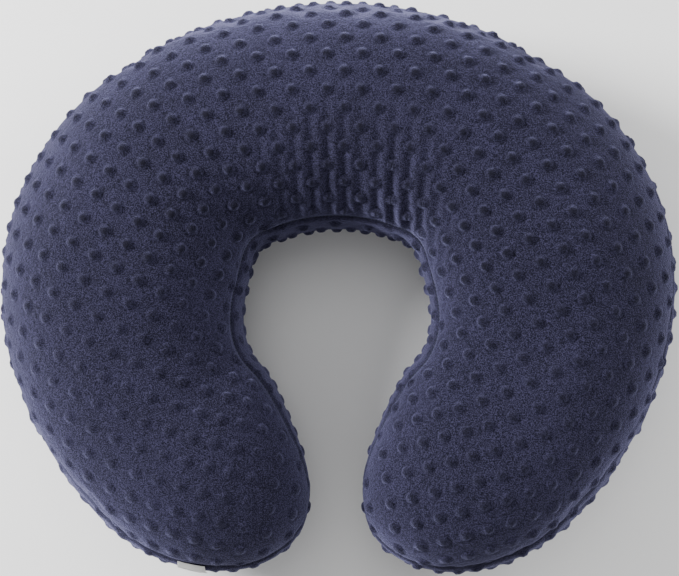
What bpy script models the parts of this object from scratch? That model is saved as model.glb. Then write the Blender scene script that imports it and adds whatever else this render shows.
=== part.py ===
"""Nursing pillow: a crescent of fibre fill in a sewn casing, inside a zipped plush cover.

The pillow lies flat on its back: X is its width, +Y points to the closed end of the crescent,
the two arm tips point to -Y, and Z is up. The origin is under the middle of its bounding box.
"""
import math

import bmesh
import bpy
from mathutils import Vector

# middle line of the stuffed tube, from the middle of the back to an arm's tip
BACK_RADIUS = 0.214
BACK_HALF_ANGLE = math.radians(25.2)
SHOULDER_RADIUS = 0.125
SHOULDER_ANGLE = math.radians(44.5)
ARM_RADIUS = 0.153
ARM_GAP = 0.0366  # narrowest gap between the two arms
TIP_LENGTH = 0.111  # length over which an arm rounds off
TIP_FULLNESS = 2.02  # 2 is an ellipse, more is squarer

# half widths of the tube and heights of its crown over the widest level
HALF_WIDTH_BACK = 0.0890
HALF_WIDTH_SIDE = 0.0960
HALF_WIDTH_ARM = 0.0854
CROWN_BACK = 0.0740
CROWN_SIDE = 0.0760
CROWN_ARM = 0.0620
SIDE_STATION = 0.206  # where the tube is widest, measured along the middle line
WIDEST_LEVEL = 0.066  # height of the tube's widest level over the floor
SETTLE = 0.006  # how far the fill's weight flattens the underside
SECTION_FULLNESS = 2.15

# sewn seam: level with the widest line at the back, and higher along the arms and in the opening
OUTER_SEAM_RISE = 0.020
INNER_SEAM_RISE = 0.026
SEAM_HALF_GAP = 0.0006
SEAM_THREAD_HALF_HEIGHT = 0.0003
SEAM_THREAD_DEPTH = 0.0015
SEAM_THREAD_INSET = 0.0004

# layers, counted inwards from the plush surface
CLEARANCE = 0.0003
COVER_THICKNESS = 0.0025
LAYER_GAP = 0.0018  # between the cover and the casing
CASING_THICKNESS = 0.0008
FILL_GAP = 0.0005
ZIP_POCKET = 0.0015  # extra depth of the casing behind the zip

# zip, sewn into the outer seam around the closed end
ZIP_END_ANGLE = math.radians(1.4)  # between an end of the zip and the end of the back's arc
TAPE_THICKNESS = 0.0006
TAPE_REACH = 0.0150  # distance of a tape's outer edge from the zip's middle
COIL_THICKNESS = 0.0018
COIL_HALF_WIDTH = 0.0021
COIL_SPLIT = 0.00015
ZIP_STITCH_WIDTH = 0.0006
ZIP_STITCH_FROM_EDGE = 0.0017
ZIP_STITCH_THICKNESS = 0.0003
HEM = 0.0051  # width of a panel's folded edge beside the zip

# slider and pull tab
SLIDER_FROM_END = 0.014807  # from the closed end of the zip to the slider's middle
SLIDER_LENGTH = 0.0085
SLIDER_HALF_WIDTH = 0.0037
SLIDER_NOSE_HALF_WIDTH = 0.0028
SLIDER_PLATE = 0.0009
SLIDER_FLANGE = 0.0007
SLIDER_CLEARANCE = 0.0004
SLIDER_SIDE_CLEARANCE = 0.0008
WEDGE_HALF_WIDTH = 0.0008
WEDGE_LENGTH = 0.0022
BRIDGE_LENGTH = 0.0064
BRIDGE_HALF_WIDTH = 0.0008
BRIDGE_BAR = 0.0008
PIN_RADIUS = 0.00045
PIN_CLEARANCE = 0.0003
PULL_LENGTH = 0.0220
PULL_HALF_WIDTH = 0.0026
PULL_EYE_WALL = 0.0009
PULL_EYE_CLEARANCE = 0.0005
PULL_EYE_END_CLEARANCE = 0.0010
PULL_EDGE_BEVEL = 0.0002
STOP_LENGTH = 0.0016
STOP_OVER_COIL = 0.0001
STOP_GAP = 0.0006

# labels sewn into the seams
CARE_LABEL_FROM_TIP = 0.061
CARE_LABEL_WIDTH = 0.014  # along the middle line; 22 mm where the label hangs
CARE_LABEL_DROP = 0.020
CARE_LABEL_THICKNESS = 0.0006
CARE_LABEL_GAP = 0.0005
CASING_LABEL_THICKNESS = 0.0005
CASING_LABEL_STATIONS = (14, 16)
CASING_LABEL_COLUMNS = 3
CLOSING_STATIONS = 4  # stations on each side of the hand-closed part of the casing's seam
CLOSING_END_GAP = 0.04  # share of a step between stations

# fineness of the surfaces
ZIP_STEPS = 8
BODY_STEPS = 12
TIP_STEPS = 6
WRAP_STEPS = 6
LABEL_STEPS = 4
BISECTIONS = 50
WELD = 1e-6

# sizes that follow from those above
TAPE_EDGE = WEDGE_HALF_WIDTH + SLIDER_CLEARANCE  # from the zip's middle to a tape's inner edge
ZIP_OPENING_HALF = SLIDER_HALF_WIDTH + SLIDER_SIDE_CLEARANCE - SEAM_HALF_GAP
EDGE_HEIGHTS = (ZIP_OPENING_HALF + HEM, TAPE_REACH)  # columns that follow a panel's outer edge
ZIP_HALF_ANGLE = BACK_HALF_ANGLE - ZIP_END_ANGLE
BACK_END = BACK_RADIUS * BACK_HALF_ANGLE
SHOULDER_END = BACK_END + SHOULDER_RADIUS * SHOULDER_ANGLE
ZIP_END = BACK_RADIUS * ZIP_HALF_ANGLE
ZIP_RADIUS = BACK_RADIUS + HALF_WIDTH_BACK
ZIP_INDEX = ZIP_STEPS
SLIDER_REST_ANGLE = ZIP_HALF_ANGLE - SLIDER_FROM_END / ZIP_RADIUS
LAST_COLUMN = len(EDGE_HEIGHTS) + WRAP_STEPS
CASING_INSET = COVER_THICKNESS + LAYER_GAP
FILL_INSET = CASING_INSET + CASING_THICKNESS + FILL_GAP
TAPE_INSET = COVER_THICKNESS + CLEARANCE
COIL_BASE = TAPE_INSET - CLEARANCE
COIL_FACE = COIL_BASE - COIL_THICKNESS

COLOURS = {
    "plush": ((0.034, 0.037, 0.072), 0.95, 0.0),
    "thread": ((0.026, 0.029, 0.056), 0.80, 0.0),
    "tape": ((0.022, 0.025, 0.050), 0.85, 0.0),
    "coil": ((0.028, 0.031, 0.062), 0.40, 0.0),
    "metal": ((0.030, 0.034, 0.068), 0.35, 0.0),
    "casing": ((0.800, 0.790, 0.760), 0.90, 0.0),
    "casing_thread": ((0.850, 0.840, 0.800), 0.85, 0.0),
    "fill": ((0.900, 0.900, 0.890), 1.00, 0.0),
    "label": ((0.820, 0.820, 0.810), 0.55, 0.0),
}


def ease(value):
    """Smooth step from 0 to 1."""
    value = min(max(value, 0.0), 1.0)
    return value * value * (3.0 - 2.0 * value)


def power(value, exponent):
    """A power that keeps the sign."""
    return math.copysign(abs(value) ** exponent, value)


def outward(heading):
    """Unit vector to the outer side of the middle line, for a clockwise heading from +X."""
    return Vector((math.sin(heading), math.cos(heading)))


def middle_line(station):
    """Point and heading on the right half's middle line, from the centre of the back's arc."""
    point = Vector((0.0, BACK_RADIUS))
    heading = 0.0
    left = station
    arcs = (
        (BACK_RADIUS, BACK_HALF_ANGLE),
        (SHOULDER_RADIUS, SHOULDER_ANGLE),
        (ARM_RADIUS, math.pi),
    )
    for radius, angle in arcs:
        turn = min(left / radius, angle)
        point = point + radius * (outward(heading + turn) - outward(heading))
        heading += turn
        left -= turn * radius
    return point, heading


def along(station, length, back, side, arm):
    """A size that changes smoothly from the back to the sides and to the arms."""
    tip_start = length - TIP_LENGTH
    to_side = ease((station - BACK_END) / (SIDE_STATION - BACK_END))
    to_arm = ease((station - SIDE_STATION) / (tip_start - SIDE_STATION))
    return back + (side - back) * to_side + (arm - side) * to_arm


def tip_share(angle):
    """How far along the rounded tip, and how full it is there, for an angle from 0 to 90 degrees."""
    exponent = 2.0 / TIP_FULLNESS
    return power(math.sin(angle), exponent), power(max(math.cos(angle), 0.0), exponent)


def arm_gap(length):
    """Narrowest gap between the arms when the middle line has this length."""
    narrowest = math.inf
    steps = TIP_STEPS * TIP_STEPS
    for number in range(steps):
        share, fullness = tip_share(math.pi / 2 * number / steps)
        station = length - TIP_LENGTH * (1.0 - share)
        point, heading = middle_line(station)
        half = fullness * along(station, length, HALF_WIDTH_BACK, HALF_WIDTH_SIDE, HALF_WIDTH_ARM)
        narrowest = min(narrowest, 2.0 * (point - half * outward(heading)).x)
    return narrowest


def middle_line_length():
    """Length at which the arms close in to the wanted gap."""
    shortest = max(SHOULDER_END, SIDE_STATION) + TIP_LENGTH
    longest = SHOULDER_END + ARM_RADIUS * math.pi
    for _ in range(BISECTIONS):
        middle = (shortest + longest) / 2
        if arm_gap(middle) > ARM_GAP:
            shortest = middle
        else:
            longest = middle
    return shortest


LENGTH = middle_line_length()
TIP_START = LENGTH - TIP_LENGTH


def make_stations():
    """(station, share of the tip, fullness) of the right half, from the back to the tip."""
    rows = [(ZIP_END * number / ZIP_STEPS, 0.0, 1.0) for number in range(ZIP_STEPS + 1)]
    for number in range(BODY_STEPS):
        rows.append((BACK_END + (TIP_START - BACK_END) * number / BODY_STEPS, 0.0, 1.0))
    for number in range(TIP_STEPS + 1):
        share, fullness = tip_share(math.pi / 2 * number / TIP_STEPS)
        if number == TIP_STEPS:
            fullness = 0.0
        rows.append((TIP_START + TIP_LENGTH * share, share, fullness))
    return rows


STATIONS = make_stations()
TIP = len(STATIONS) - 1
LOOP = 4 * TIP  # steps once round the seam: out along one side of the tube and back along the other


def section(station, share, fullness, angle, inset):
    """Point of the tube's surface on the right half, from the centre of the back's arc."""
    point, heading = middle_line(station - share * inset)
    width = along(station, LENGTH, HALF_WIDTH_BACK, HALF_WIDTH_SIDE, HALF_WIDTH_ARM) - inset
    crown = along(station, LENGTH, CROWN_BACK, CROWN_SIDE, CROWN_ARM) - inset
    depth = WIDEST_LEVEL + SETTLE - inset
    exponent = 2.0 / SECTION_FULLNESS
    across = point + fullness * width * power(math.cos(angle), exponent) * outward(heading)
    up = power(math.sin(angle), exponent)
    height = WIDEST_LEVEL + fullness * up * (crown if up > 0.0 else depth)
    return Vector((across.x, across.y, height))


def angle_at(rise, station):
    """Section angle at a height over the widest level, on the outer side."""
    crown = along(station, LENGTH, CROWN_BACK, CROWN_SIDE, CROWN_ARM)
    span = crown if rise > 0.0 else WIDEST_LEVEL + SETTLE
    return math.asin(power(rise / span, SECTION_FULLNESS / 2.0))


def seam_angles(station):
    """Section angles of the seam on the outer side and in the opening."""
    share = ease((station - BACK_END) / (SIDE_STATION - BACK_END))
    outer = angle_at(OUTER_SEAM_RISE * share, station)
    inner = math.pi - angle_at(INNER_SEAM_RISE, station)
    return outer, inner


def outer_rise(station):
    """Height of the outer seam over the widest level."""
    return OUTER_SEAM_RISE * ease((station - BACK_END) / (SIDE_STATION - BACK_END))


def column_angle(index, side, column, slotted):
    """Section angle of a column of the top panel (side 1) or the bottom panel (side -1)."""
    station = STATIONS[abs(index)][0]
    outer, inner = seam_angles(station)
    if side < 0:
        inner -= 2.0 * math.pi
    edge = ZIP_OPENING_HALF if slotted and abs(index) <= ZIP_INDEX else 0.0
    heights = (edge,) + EDGE_HEIGHTS
    if column < len(heights):
        return angle_at(outer_rise(station) + side * heights[column], station)
    start = angle_at(outer_rise(station) + side * heights[-1], station)
    return start + (inner - start) * (column - len(EDGE_HEIGHTS)) / WRAP_STEPS


def back_centre():
    """Y of the back arc's centre that puts the origin under the middle of the bounding box."""
    highest = ZIP_RADIUS + CLEARANCE + ZIP_STITCH_THICKNESS
    lowest = min(section(*row, 0.0, 0.0).y for row in STATIONS)
    return -(highest + lowest) / 2.0


ZIP_CENTRE_Y = back_centre()


def grid_point(index, side, column, inset, slotted, pocket):
    """Point of a panel's surface at a whole station and column."""
    if pocket:
        near = ease((ZIP_INDEX + 4 - abs(index)) / 2.0)
        inset += ZIP_POCKET * near * (1.0 if column <= len(EDGE_HEIGHTS) else 0.0)
    angle = column_angle(index, side, column, slotted)
    point = section(*STATIONS[abs(index)], angle, inset)
    height = max(point.z + side * SEAM_HALF_GAP, inset)
    return Vector((math.copysign(1.0, index) * point.x, point.y + ZIP_CENTRE_Y, height))


def zip_point(angle, inset, height):
    """Point in the zip's own coordinates: angle from +Y, depth below the plush, height from its middle."""
    radius = ZIP_RADIUS - inset
    return Vector(
        (
            radius * math.sin(angle),
            ZIP_CENTRE_Y + radius * math.cos(angle),
            WIDEST_LEVEL + height,
        )
    )


def clear_scene():
    """Remove the objects of the start-up scene."""
    for item in list(bpy.data.objects):
        bpy.data.objects.remove(item)


def make_material(name):
    """Principled material of a named finish."""
    colour, roughness, metallic = COLOURS[name]
    material = bpy.data.materials.new(name)
    material.use_nodes = True
    shader = material.node_tree.nodes["Principled BSDF"]
    shader.inputs["Base Color"].default_value = (*colour, 1.0)
    shader.inputs["Roughness"].default_value = roughness
    shader.inputs["Metallic"].default_value = metallic
    return material


def finish_object(name, mesh_maker, material):
    """Close the mesh, turn its faces outwards and link it as a named object."""
    bmesh.ops.remove_doubles(mesh_maker, verts=mesh_maker.verts, dist=WELD)
    bmesh.ops.recalc_face_normals(mesh_maker, faces=mesh_maker.faces)
    mesh = bpy.data.meshes.new(name)
    mesh_maker.to_mesh(mesh)
    mesh_maker.free()
    mesh.shade_smooth()
    mesh.set_sharp_from_angle(angle=math.radians(40.0))
    mesh.materials.append(make_material(material))
    item = bpy.data.objects.new(name, mesh)
    bpy.context.collection.objects.link(item)
    return item


def add_quads(mesh_maker, rows):
    """Two triangles for each square of a grid of vertices."""
    for first, second in zip(rows, rows[1:]):
        for a, b, c, d in zip(first, second, second[1:], first[1:]):
            mesh_maker.faces.new((a, b, c))
            mesh_maker.faces.new((a, c, d))


def solid_between(name, outer, inner, material):
    """Closed solid between two grids of points of the same shape."""
    mesh_maker = bmesh.new()
    outside = [[mesh_maker.verts.new(point) for point in row] for row in outer]
    inside = [[mesh_maker.verts.new(point) for point in row] for row in inner]
    add_quads(mesh_maker, outside)
    add_quads(mesh_maker, inside)
    for end in (0, -1):
        add_quads(mesh_maker, [outside[end], inside[end]])
        add_quads(mesh_maker, [[row[end] for row in outside], [row[end] for row in inside]])
    return finish_object(name, mesh_maker, material)


def tube(name, rows, material):
    """Closed solid through rings of points, closed at both ends."""
    mesh_maker = bmesh.new()
    rings = [[mesh_maker.verts.new(point) for point in row] for row in rows]
    add_quads(mesh_maker, [ring + ring[:1] for ring in rings])
    if (rows[0][0] - rows[0][1]).length > WELD:
        mesh_maker.faces.new(rings[0])
        mesh_maker.faces.new(rings[-1])
    return finish_object(name, mesh_maker, material)


def panel(name, side, inset, thickness, material, slotted, pocket):
    """Shell of the top or the bottom panel, from one arm's tip to the other."""
    columns = range(LAST_COLUMN + 1)
    grids = [
        [
            [grid_point(index, side, column, depth, slotted, pocket) for column in columns]
            for index in range(-TIP, TIP + 1)
        ]
        for depth in (inset, inset + thickness)
    ]
    return solid_between(name, grids[0], grids[1], material)


def seam_place(step):
    """Station and column of a step along the seam, counted from the middle of the back."""
    step = (step + TIP) % LOOP - TIP
    if step <= TIP:
        return step, 0
    return 2 * TIP - step, LAST_COLUMN


def seam_point(step, inset, rise, pocket):
    """Point midway between the two panels' edges, on straight lines between whole steps."""
    low = math.floor(step)
    ends = []
    for whole in (low, low + 1):
        index, column = seam_place(whole)
        over = grid_point(index, 1, column, inset, False, pocket)
        under = grid_point(index, -1, column, inset, False, pocket)
        ends.append((over + under) / 2.0)
    return ends[0].lerp(ends[1], step - low) + Vector((0.0, 0.0, rise))


def seam_thread(name, start, stop, layer_inset, depth, material, pocket):
    """Row of seam stitches between the panels' edges, as a flat strip."""
    steps = [start] + list(range(math.floor(start) + 1, math.ceil(stop))) + [stop]
    grids = []
    for inset in (layer_inset + SEAM_THREAD_INSET, layer_inset + SEAM_THREAD_INSET + depth):
        heights = (SEAM_THREAD_HALF_HEIGHT, -SEAM_THREAD_HALF_HEIGHT)
        grids.append([[seam_point(step, inset, rise, pocket) for rise in heights] for step in steps])
    return solid_between(name, grids[0], grids[1], material)


def make_cover():
    """Plush cover: two panels, the seam that joins them and the care label."""
    panel("cover_top_panel", 1, 0.0, COVER_THICKNESS, "plush", True, False)
    panel("cover_bottom_panel", -1, 0.0, COVER_THICKNESS, "plush", True, False)
    start = ZIP_INDEX + 1
    seam_thread("cover_seam_thread", start, LOOP - start, 0.0, SEAM_THREAD_DEPTH, "thread", False)
    make_care_label()


def make_care_label():
    """Folded care label, sewn into the outer seam of one arm and hanging over the underside."""
    grids = []
    for inset in (-CARE_LABEL_GAP - CARE_LABEL_THICKNESS, -CARE_LABEL_GAP):
        rows = []
        for number in range(LABEL_STEPS + 1):
            offset = CARE_LABEL_WIDTH * (number / LABEL_STEPS - 0.5)
            rows.append(care_label_row(LENGTH - CARE_LABEL_FROM_TIP + offset, inset))
        grids.append(rows)
    solid_between("cover_care_label", grids[0], grids[1], "label")


def care_label_row(station, inset):
    """The label's line from the seam to the widest level and straight down from there."""
    share = min((station - TIP_START) / TIP_LENGTH, 1.0)
    fullness = (1.0 - max(share, 0.0) ** TIP_FULLNESS) ** (1.0 / TIP_FULLNESS)
    seam_height = outer_rise(station) * fullness
    points = []
    for portion in (1.0, 0.5, 0.0):
        angle = angle_at(outer_rise(station) * portion, station)
        points.append(section(station, max(share, 0.0), fullness, angle, inset))
    hanging = points[-1].copy()
    hanging.z -= max(CARE_LABEL_DROP - seam_height, 0.0)
    points.append(hanging)
    return [Vector((-point.x, point.y + ZIP_CENTRE_Y, point.z)) for point in points]


def make_casing():
    """Woven casing of the fill: two panels, their seam, its hand-closed part and the label."""
    for name, side in (("casing_top_panel", 1), ("casing_bottom_panel", -1)):
        panel(name, side, CASING_INSET, CASING_THICKNESS, "casing", False, True)
    depth = CASING_THICKNESS - SEAM_THREAD_INSET
    opening = 2 * TIP - CLOSING_STATIONS
    after = 2 * TIP + CLOSING_STATIONS
    finish = "casing_thread"
    seam_thread("casing_seam_thread", after, opening + LOOP, CASING_INSET, depth, finish, True)
    first = opening + CLOSING_END_GAP
    last = after - CLOSING_END_GAP
    seam_thread("casing_closing_stitches", first, last, CASING_INSET, depth, finish, True)
    make_casing_label()


def make_casing_label():
    """Contents label that lies between the casing and the cover."""
    inset = CASING_INSET - CLEARANCE - CASING_LABEL_THICKNESS
    first, last = CASING_LABEL_STATIONS
    columns = range(1, CASING_LABEL_COLUMNS + 1)
    grids = [
        [
            [grid_point(index, -1, column, depth, False, False) for column in columns]
            for index in range(first, last + 1)
        ]
        for depth in (inset, inset + CASING_LABEL_THICKNESS)
    ]
    solid_between("casing_label", grids[0], grids[1], "label")


def fill_point(index, side, column):
    """Point of the fill's surface, whose two halves meet at the seam."""
    point = grid_point(index, side, column, FILL_INSET, False, True)
    point.z -= side * SEAM_HALF_GAP
    return point


def make_fill():
    """Fibre fill: one closed body that the casing wraps."""
    halves = [
        [
            [fill_point(index, side, column) for column in range(LAST_COLUMN + 1)]
            for index in range(-TIP, TIP + 1)
        ]
        for side in (1, -1)
    ]
    solid_between("fibre_fill", halves[0], halves[1], "fill")


def zip_angles(first, last):
    """Angles along the zip between two ends, at the panels' own stations."""
    step = ZIP_HALF_ANGLE / ZIP_STEPS
    between = [
        number * step
        for number in range(-ZIP_STEPS, ZIP_STEPS + 1)
        if first + step / 4 < number * step < last - step / 4
    ]
    return [first] + between + [last]


def make_tapes():
    """Woven tapes, one behind each panel's edge, and the stitches that hold them."""
    for name, side in (("upper", 1), ("lower", -1)):
        grids = []
        for inset in (TAPE_INSET, TAPE_INSET + TAPE_THICKNESS):
            rows = []
            for index in range(-ZIP_INDEX - 1, ZIP_INDEX + 2):
                heights = (TAPE_EDGE, ZIP_OPENING_HALF) + EDGE_HEIGHTS
                rows.append([tape_point(index, side, height, inset) for height in heights])
            grids.append(rows)
        solid_between(f"zipper_tape_{name}", grids[0], grids[1], "tape")
        make_zip_stitches(f"zipper_stitching_{name}", side)


def tape_point(index, side, height, inset):
    """Point of a tape at a height from the zip's middle."""
    station = STATIONS[abs(index)][0]
    angle = angle_at(side * height, station)
    point = section(*STATIONS[abs(index)], angle, inset)
    return Vector((math.copysign(1.0, index) * point.x, point.y + ZIP_CENTRE_Y, point.z))


def make_zip_stitches(name, side):
    """Straight row of stitches beside a panel's folded edge."""
    columns = (ZIP_STITCH_FROM_EDGE / HEM, (ZIP_STITCH_FROM_EDGE + ZIP_STITCH_WIDTH) / HEM)
    grids = []
    for inset in (-CLEARANCE - ZIP_STITCH_THICKNESS, -CLEARANCE):
        rows = []
        for index in range(-ZIP_INDEX, ZIP_INDEX + 1):
            edge = grid_point(index, side, 0, inset, True, False)
            inwards = grid_point(index, side, 1, inset, True, False)
            rows.append([edge.lerp(inwards, column) for column in columns])
        grids.append(rows)
    solid_between(name, grids[0], grids[1], "thread")


def arc_bar(name, angles, low, high, face, base, material):
    """Bar along the zip between two heights and two depths."""
    edge = (base - face) / 4
    outline = (
        (face, low + edge),
        (face, high - edge),
        (face + edge, high),
        (base, high),
        (base, low),
        (face + edge, low),
    )
    rows = [[zip_point(angle, inset, height) for inset, height in outline] for angle in angles]
    return tube(name, rows, material)


def make_chain():
    """Coils of the closed chain, and the stops at its ends."""
    half_stop = STOP_LENGTH / ZIP_RADIUS / 2
    half_slider = SLIDER_LENGTH / ZIP_RADIUS / 2
    last_coil = SLIDER_REST_ANGLE + half_slider - (WEDGE_LENGTH + SLIDER_CLEARANCE * 2) / ZIP_RADIUS
    first_coil = -ZIP_HALF_ANGLE + (STOP_LENGTH + STOP_GAP) / ZIP_RADIUS
    angles = zip_angles(first_coil, last_coil)
    half = COIL_HALF_WIDTH
    arc_bar("zipper_coil_upper", angles, COIL_SPLIT, half, COIL_FACE, COIL_BASE, "coil")
    arc_bar("zipper_coil_lower", angles, -half, -COIL_SPLIT, COIL_FACE, COIL_BASE, "coil")
    stop_face = COIL_FACE - STOP_OVER_COIL
    bottom = first_coil - STOP_GAP / ZIP_RADIUS - half_stop
    ends = (bottom - half_stop, bottom + half_stop)
    reach = half + COIL_SPLIT
    arc_bar("zipper_bottom_stop", ends, -reach, reach, stop_face, COIL_BASE, "metal")
    top = SLIDER_REST_ANGLE + half_slider + STOP_GAP / ZIP_RADIUS + half_stop
    ends = (top - half_stop, top + half_stop)
    edge = TAPE_EDGE
    arc_bar("zipper_top_stop_upper", ends, edge, edge + half, stop_face, COIL_BASE, "metal")
    arc_bar("zipper_top_stop_lower", ends, -edge - half, -edge, stop_face, COIL_BASE, "metal")


def prism(name, outline, low, high, axis="Z"):
    """Mesh of an outline in the other two local axes, extruded along a local axis."""
    mesh_maker = bmesh.new()
    order = {"X": (2, 0, 1), "Y": (0, 2, 1), "Z": (0, 1, 2)}[axis]
    corners = [[(first, second, low)[place] for place in order] for first, second in outline]
    face = mesh_maker.faces.new([mesh_maker.verts.new(corner) for corner in corners])
    raised = bmesh.ops.extrude_face_region(mesh_maker, geom=[face])["geom"]
    moved = [item for item in raised if isinstance(item, bmesh.types.BMVert)]
    shift = [(0.0, 0.0, high - low)[place] for place in order]
    bmesh.ops.translate(mesh_maker, verts=moved, vec=shift)
    return finish_object(name, mesh_maker, "metal")


def box_outline(first_x, last_x, half_y):
    """Corners of a rectangle about the X axis."""
    return [(first_x, -half_y), (last_x, -half_y), (last_x, half_y), (first_x, half_y)]


def combine(target, other, operation):
    """Join another solid to this one or cut it away, and keep it only as a cutter."""
    modifier = target.modifiers.new(other.name, "BOOLEAN")
    modifier.operation = operation
    modifier.solver = "EXACT"
    modifier.object = other
    other.hide_render = True
    other.display_type = "WIRE"


def place_on_slider(item, pivot, height):
    """Stand a piece on the zip's face: local X forwards along the zip, local Z out of the pillow."""
    item.parent = pivot
    item.location = (0.0, ZIP_RADIUS + height, 0.0)
    item.rotation_euler = (-math.pi / 2, 0.0, 0.0)


def make_slider(pivot):
    """Slider body: two plates joined by the wedge, side flanges and the bridge for the pull."""
    half = SLIDER_LENGTH / 2
    top_low = -COIL_FACE + SLIDER_CLEARANCE
    top_high = top_low + SLIDER_PLATE
    inside_plate = (top_low + top_high) / 2
    under_high = -(TAPE_INSET + TAPE_THICKNESS) - SLIDER_CLEARANCE
    under_low = under_high - SLIDER_PLATE
    flange_low = -TAPE_INSET + CLEARANCE
    wide = SLIDER_HALF_WIDTH
    inner = wide - SLIDER_FLANGE
    nose = SLIDER_NOSE_HALF_WIDTH
    channel = [(wide, flange_low), (wide, inside_plate), (nose, top_high)]
    channel += [(-y, z) for y, z in reversed(channel)]
    channel += [(-inner, flange_low), (-inner, top_low), (inner, top_low), (inner, flange_low)]
    body = prism("zipper_slider", channel, -half, half, "X")
    shoulder = half - (wide - nose)
    plate = [(-half, -nose), (0.0, -wide), (shoulder, -wide), (half, -nose)]
    plate += [(x, -y) for x, y in reversed(plate)]
    wedge = box_outline(half - WEDGE_LENGTH, half - SLIDER_FLANGE / 2, WEDGE_HALF_WIDTH)
    bridge_high = top_high + 2 * (PIN_RADIUS + PIN_CLEARANCE) + BRIDGE_BAR
    reach = BRIDGE_LENGTH / 2
    room = reach - BRIDGE_BAR
    arch = [(reach, inside_plate), (reach, bridge_high - BRIDGE_BAR), (room, bridge_high)]
    arch += [(-x, z) for x, z in reversed(arch)]
    window = [(-room, inside_plate), (-room, bridge_high - BRIDGE_BAR)]
    arch += window + [(-x, z) for x, z in reversed(window)]
    parts = [
        prism("slider_under_plate", plate, under_low, under_high),
        prism("slider_wedge", wedge, under_high - SLIDER_PLATE / 2, inside_plate),
        prism("slider_bridge", arch, -BRIDGE_HALF_WIDTH, BRIDGE_HALF_WIDTH, "Y"),
    ]
    for item in parts:
        combine(body, item, "UNION")
    for item in [body] + parts:
        place_on_slider(item, pivot, 0.0)


def make_pull_tab(pivot):
    """Flat pull tab with an eye, whose end bar turns under the slider's bridge."""
    top_high = -COIL_FACE + SLIDER_CLEARANCE + SLIDER_PLATE
    pin_height = top_high + PIN_RADIUS + PIN_CLEARANCE
    eye_half = BRIDGE_HALF_WIDTH + PULL_EYE_CLEARANCE
    eye_end = BRIDGE_LENGTH / 2 + PULL_EYE_END_CLEARANCE
    neck = eye_half + PULL_EYE_WALL
    wide = PULL_HALF_WIDTH
    start = -PIN_RADIUS
    widest = PULL_LENGTH * 3 / 4
    corner = PULL_LENGTH - wide / 2
    outline = [(start, -neck), (eye_end, -neck), (widest, -wide), (corner, -wide)]
    outline += [(PULL_LENGTH, -wide / 2)]
    outline += [(x, -y) for x, y in reversed(outline)]
    tab = prism("zipper_pull_tab", outline, -PIN_RADIUS, PIN_RADIUS)
    eye = prism(
        "pull_eye",
        box_outline(PIN_RADIUS, eye_end, eye_half),
        -PIN_RADIUS * 2,
        PIN_RADIUS * 2,
    )
    combine(tab, eye, "DIFFERENCE")
    bevel = tab.modifiers.new("edges", "BEVEL")
    bevel.width = PULL_EDGE_BEVEL
    bevel.segments = 1
    bevel.limit_method = "ANGLE"
    for item in (tab, eye):
        place_on_slider(item, pivot, pin_height)


def make_zip():
    """Zip in the outer seam: tapes, chain, stops, slider and pull tab."""
    make_tapes()
    make_chain()
    pivot = bpy.data.objects.new("slider_pivot", None)
    pivot.location = (0.0, ZIP_CENTRE_Y, WIDEST_LEVEL)
    pivot.rotation_euler = (0.0, 0.0, -SLIDER_REST_ANGLE)
    bpy.context.collection.objects.link(pivot)
    make_slider(pivot)
    make_pull_tab(pivot)


def main():
    """Build every piece of the pillow."""
    clear_scene()
    make_fill()
    make_casing()
    make_cover()
    make_zip()


main()
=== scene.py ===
"""Looks of the nursing pillow: a dotted plush cover with zip and labels, its casing and filling.

The pillow lies flat: X is its width, +Y points to the closed end, and Z is up. Lengths are in metres.
Every layer follows one stuffed tube, at its own inset from the plush surface.
"""

import math

import bmesh
import bpy
import numpy as np
from bpy.props import FloatProperty, FloatVectorProperty, IntProperty, PointerProperty
from mathutils import Matrix, Vector, noise


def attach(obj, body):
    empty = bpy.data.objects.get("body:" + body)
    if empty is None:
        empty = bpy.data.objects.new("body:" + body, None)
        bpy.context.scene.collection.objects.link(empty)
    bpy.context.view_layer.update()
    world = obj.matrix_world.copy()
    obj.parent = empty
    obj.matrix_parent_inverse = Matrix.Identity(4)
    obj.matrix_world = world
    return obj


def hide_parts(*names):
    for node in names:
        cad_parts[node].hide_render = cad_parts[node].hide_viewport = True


bl_info = {
    "name": "Nursing pillow",
    "version": (1, 0, 0),
    "blender": (4, 5, 0),
    "location": "3D View > Sidebar > Pillow",
    "description": "Makes the plush cover, zip, labels, casing and filling of a nursing pillow",
    "category": "Object",
}

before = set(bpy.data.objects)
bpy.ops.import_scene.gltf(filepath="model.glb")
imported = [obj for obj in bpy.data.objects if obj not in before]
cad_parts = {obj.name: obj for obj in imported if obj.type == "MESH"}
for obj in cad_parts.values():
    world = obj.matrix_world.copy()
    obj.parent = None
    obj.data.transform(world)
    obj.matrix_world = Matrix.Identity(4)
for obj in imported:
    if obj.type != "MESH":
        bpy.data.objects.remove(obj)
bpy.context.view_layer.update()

# middle line of the stuffed tube, from the middle of the back to an arm's tip
BACK_RADIUS = 0.214
BACK_HALF_ANGLE = math.radians(25.2)
SHOULDER_RADIUS = 0.125
SHOULDER_ANGLE = math.radians(44.5)
ARM_RADIUS = 0.153
MIDDLE_LENGTH = 0.4790101
TIP_LENGTH = 0.111
TIP_CURVE = 0.150  # length of a line over the rounded tip
TIP_POWER = 2 / 2.02
MIDDLE_ARCS = (
    (BACK_RADIUS, BACK_HALF_ANGLE),
    (SHOULDER_RADIUS, SHOULDER_ANGLE),
    (ARM_RADIUS, math.pi),
)

# cross-section of the tube at the back, the side and the arm
HALF_WIDTHS = (0.0890, 0.0960, 0.0854)
CROWNS = (0.0740, 0.0760, 0.0620)
SIDE_STATION = 0.206
WIDEST_LEVEL = 0.066
SETTLE = 0.006
SECTION_POWER = 2.15

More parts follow.
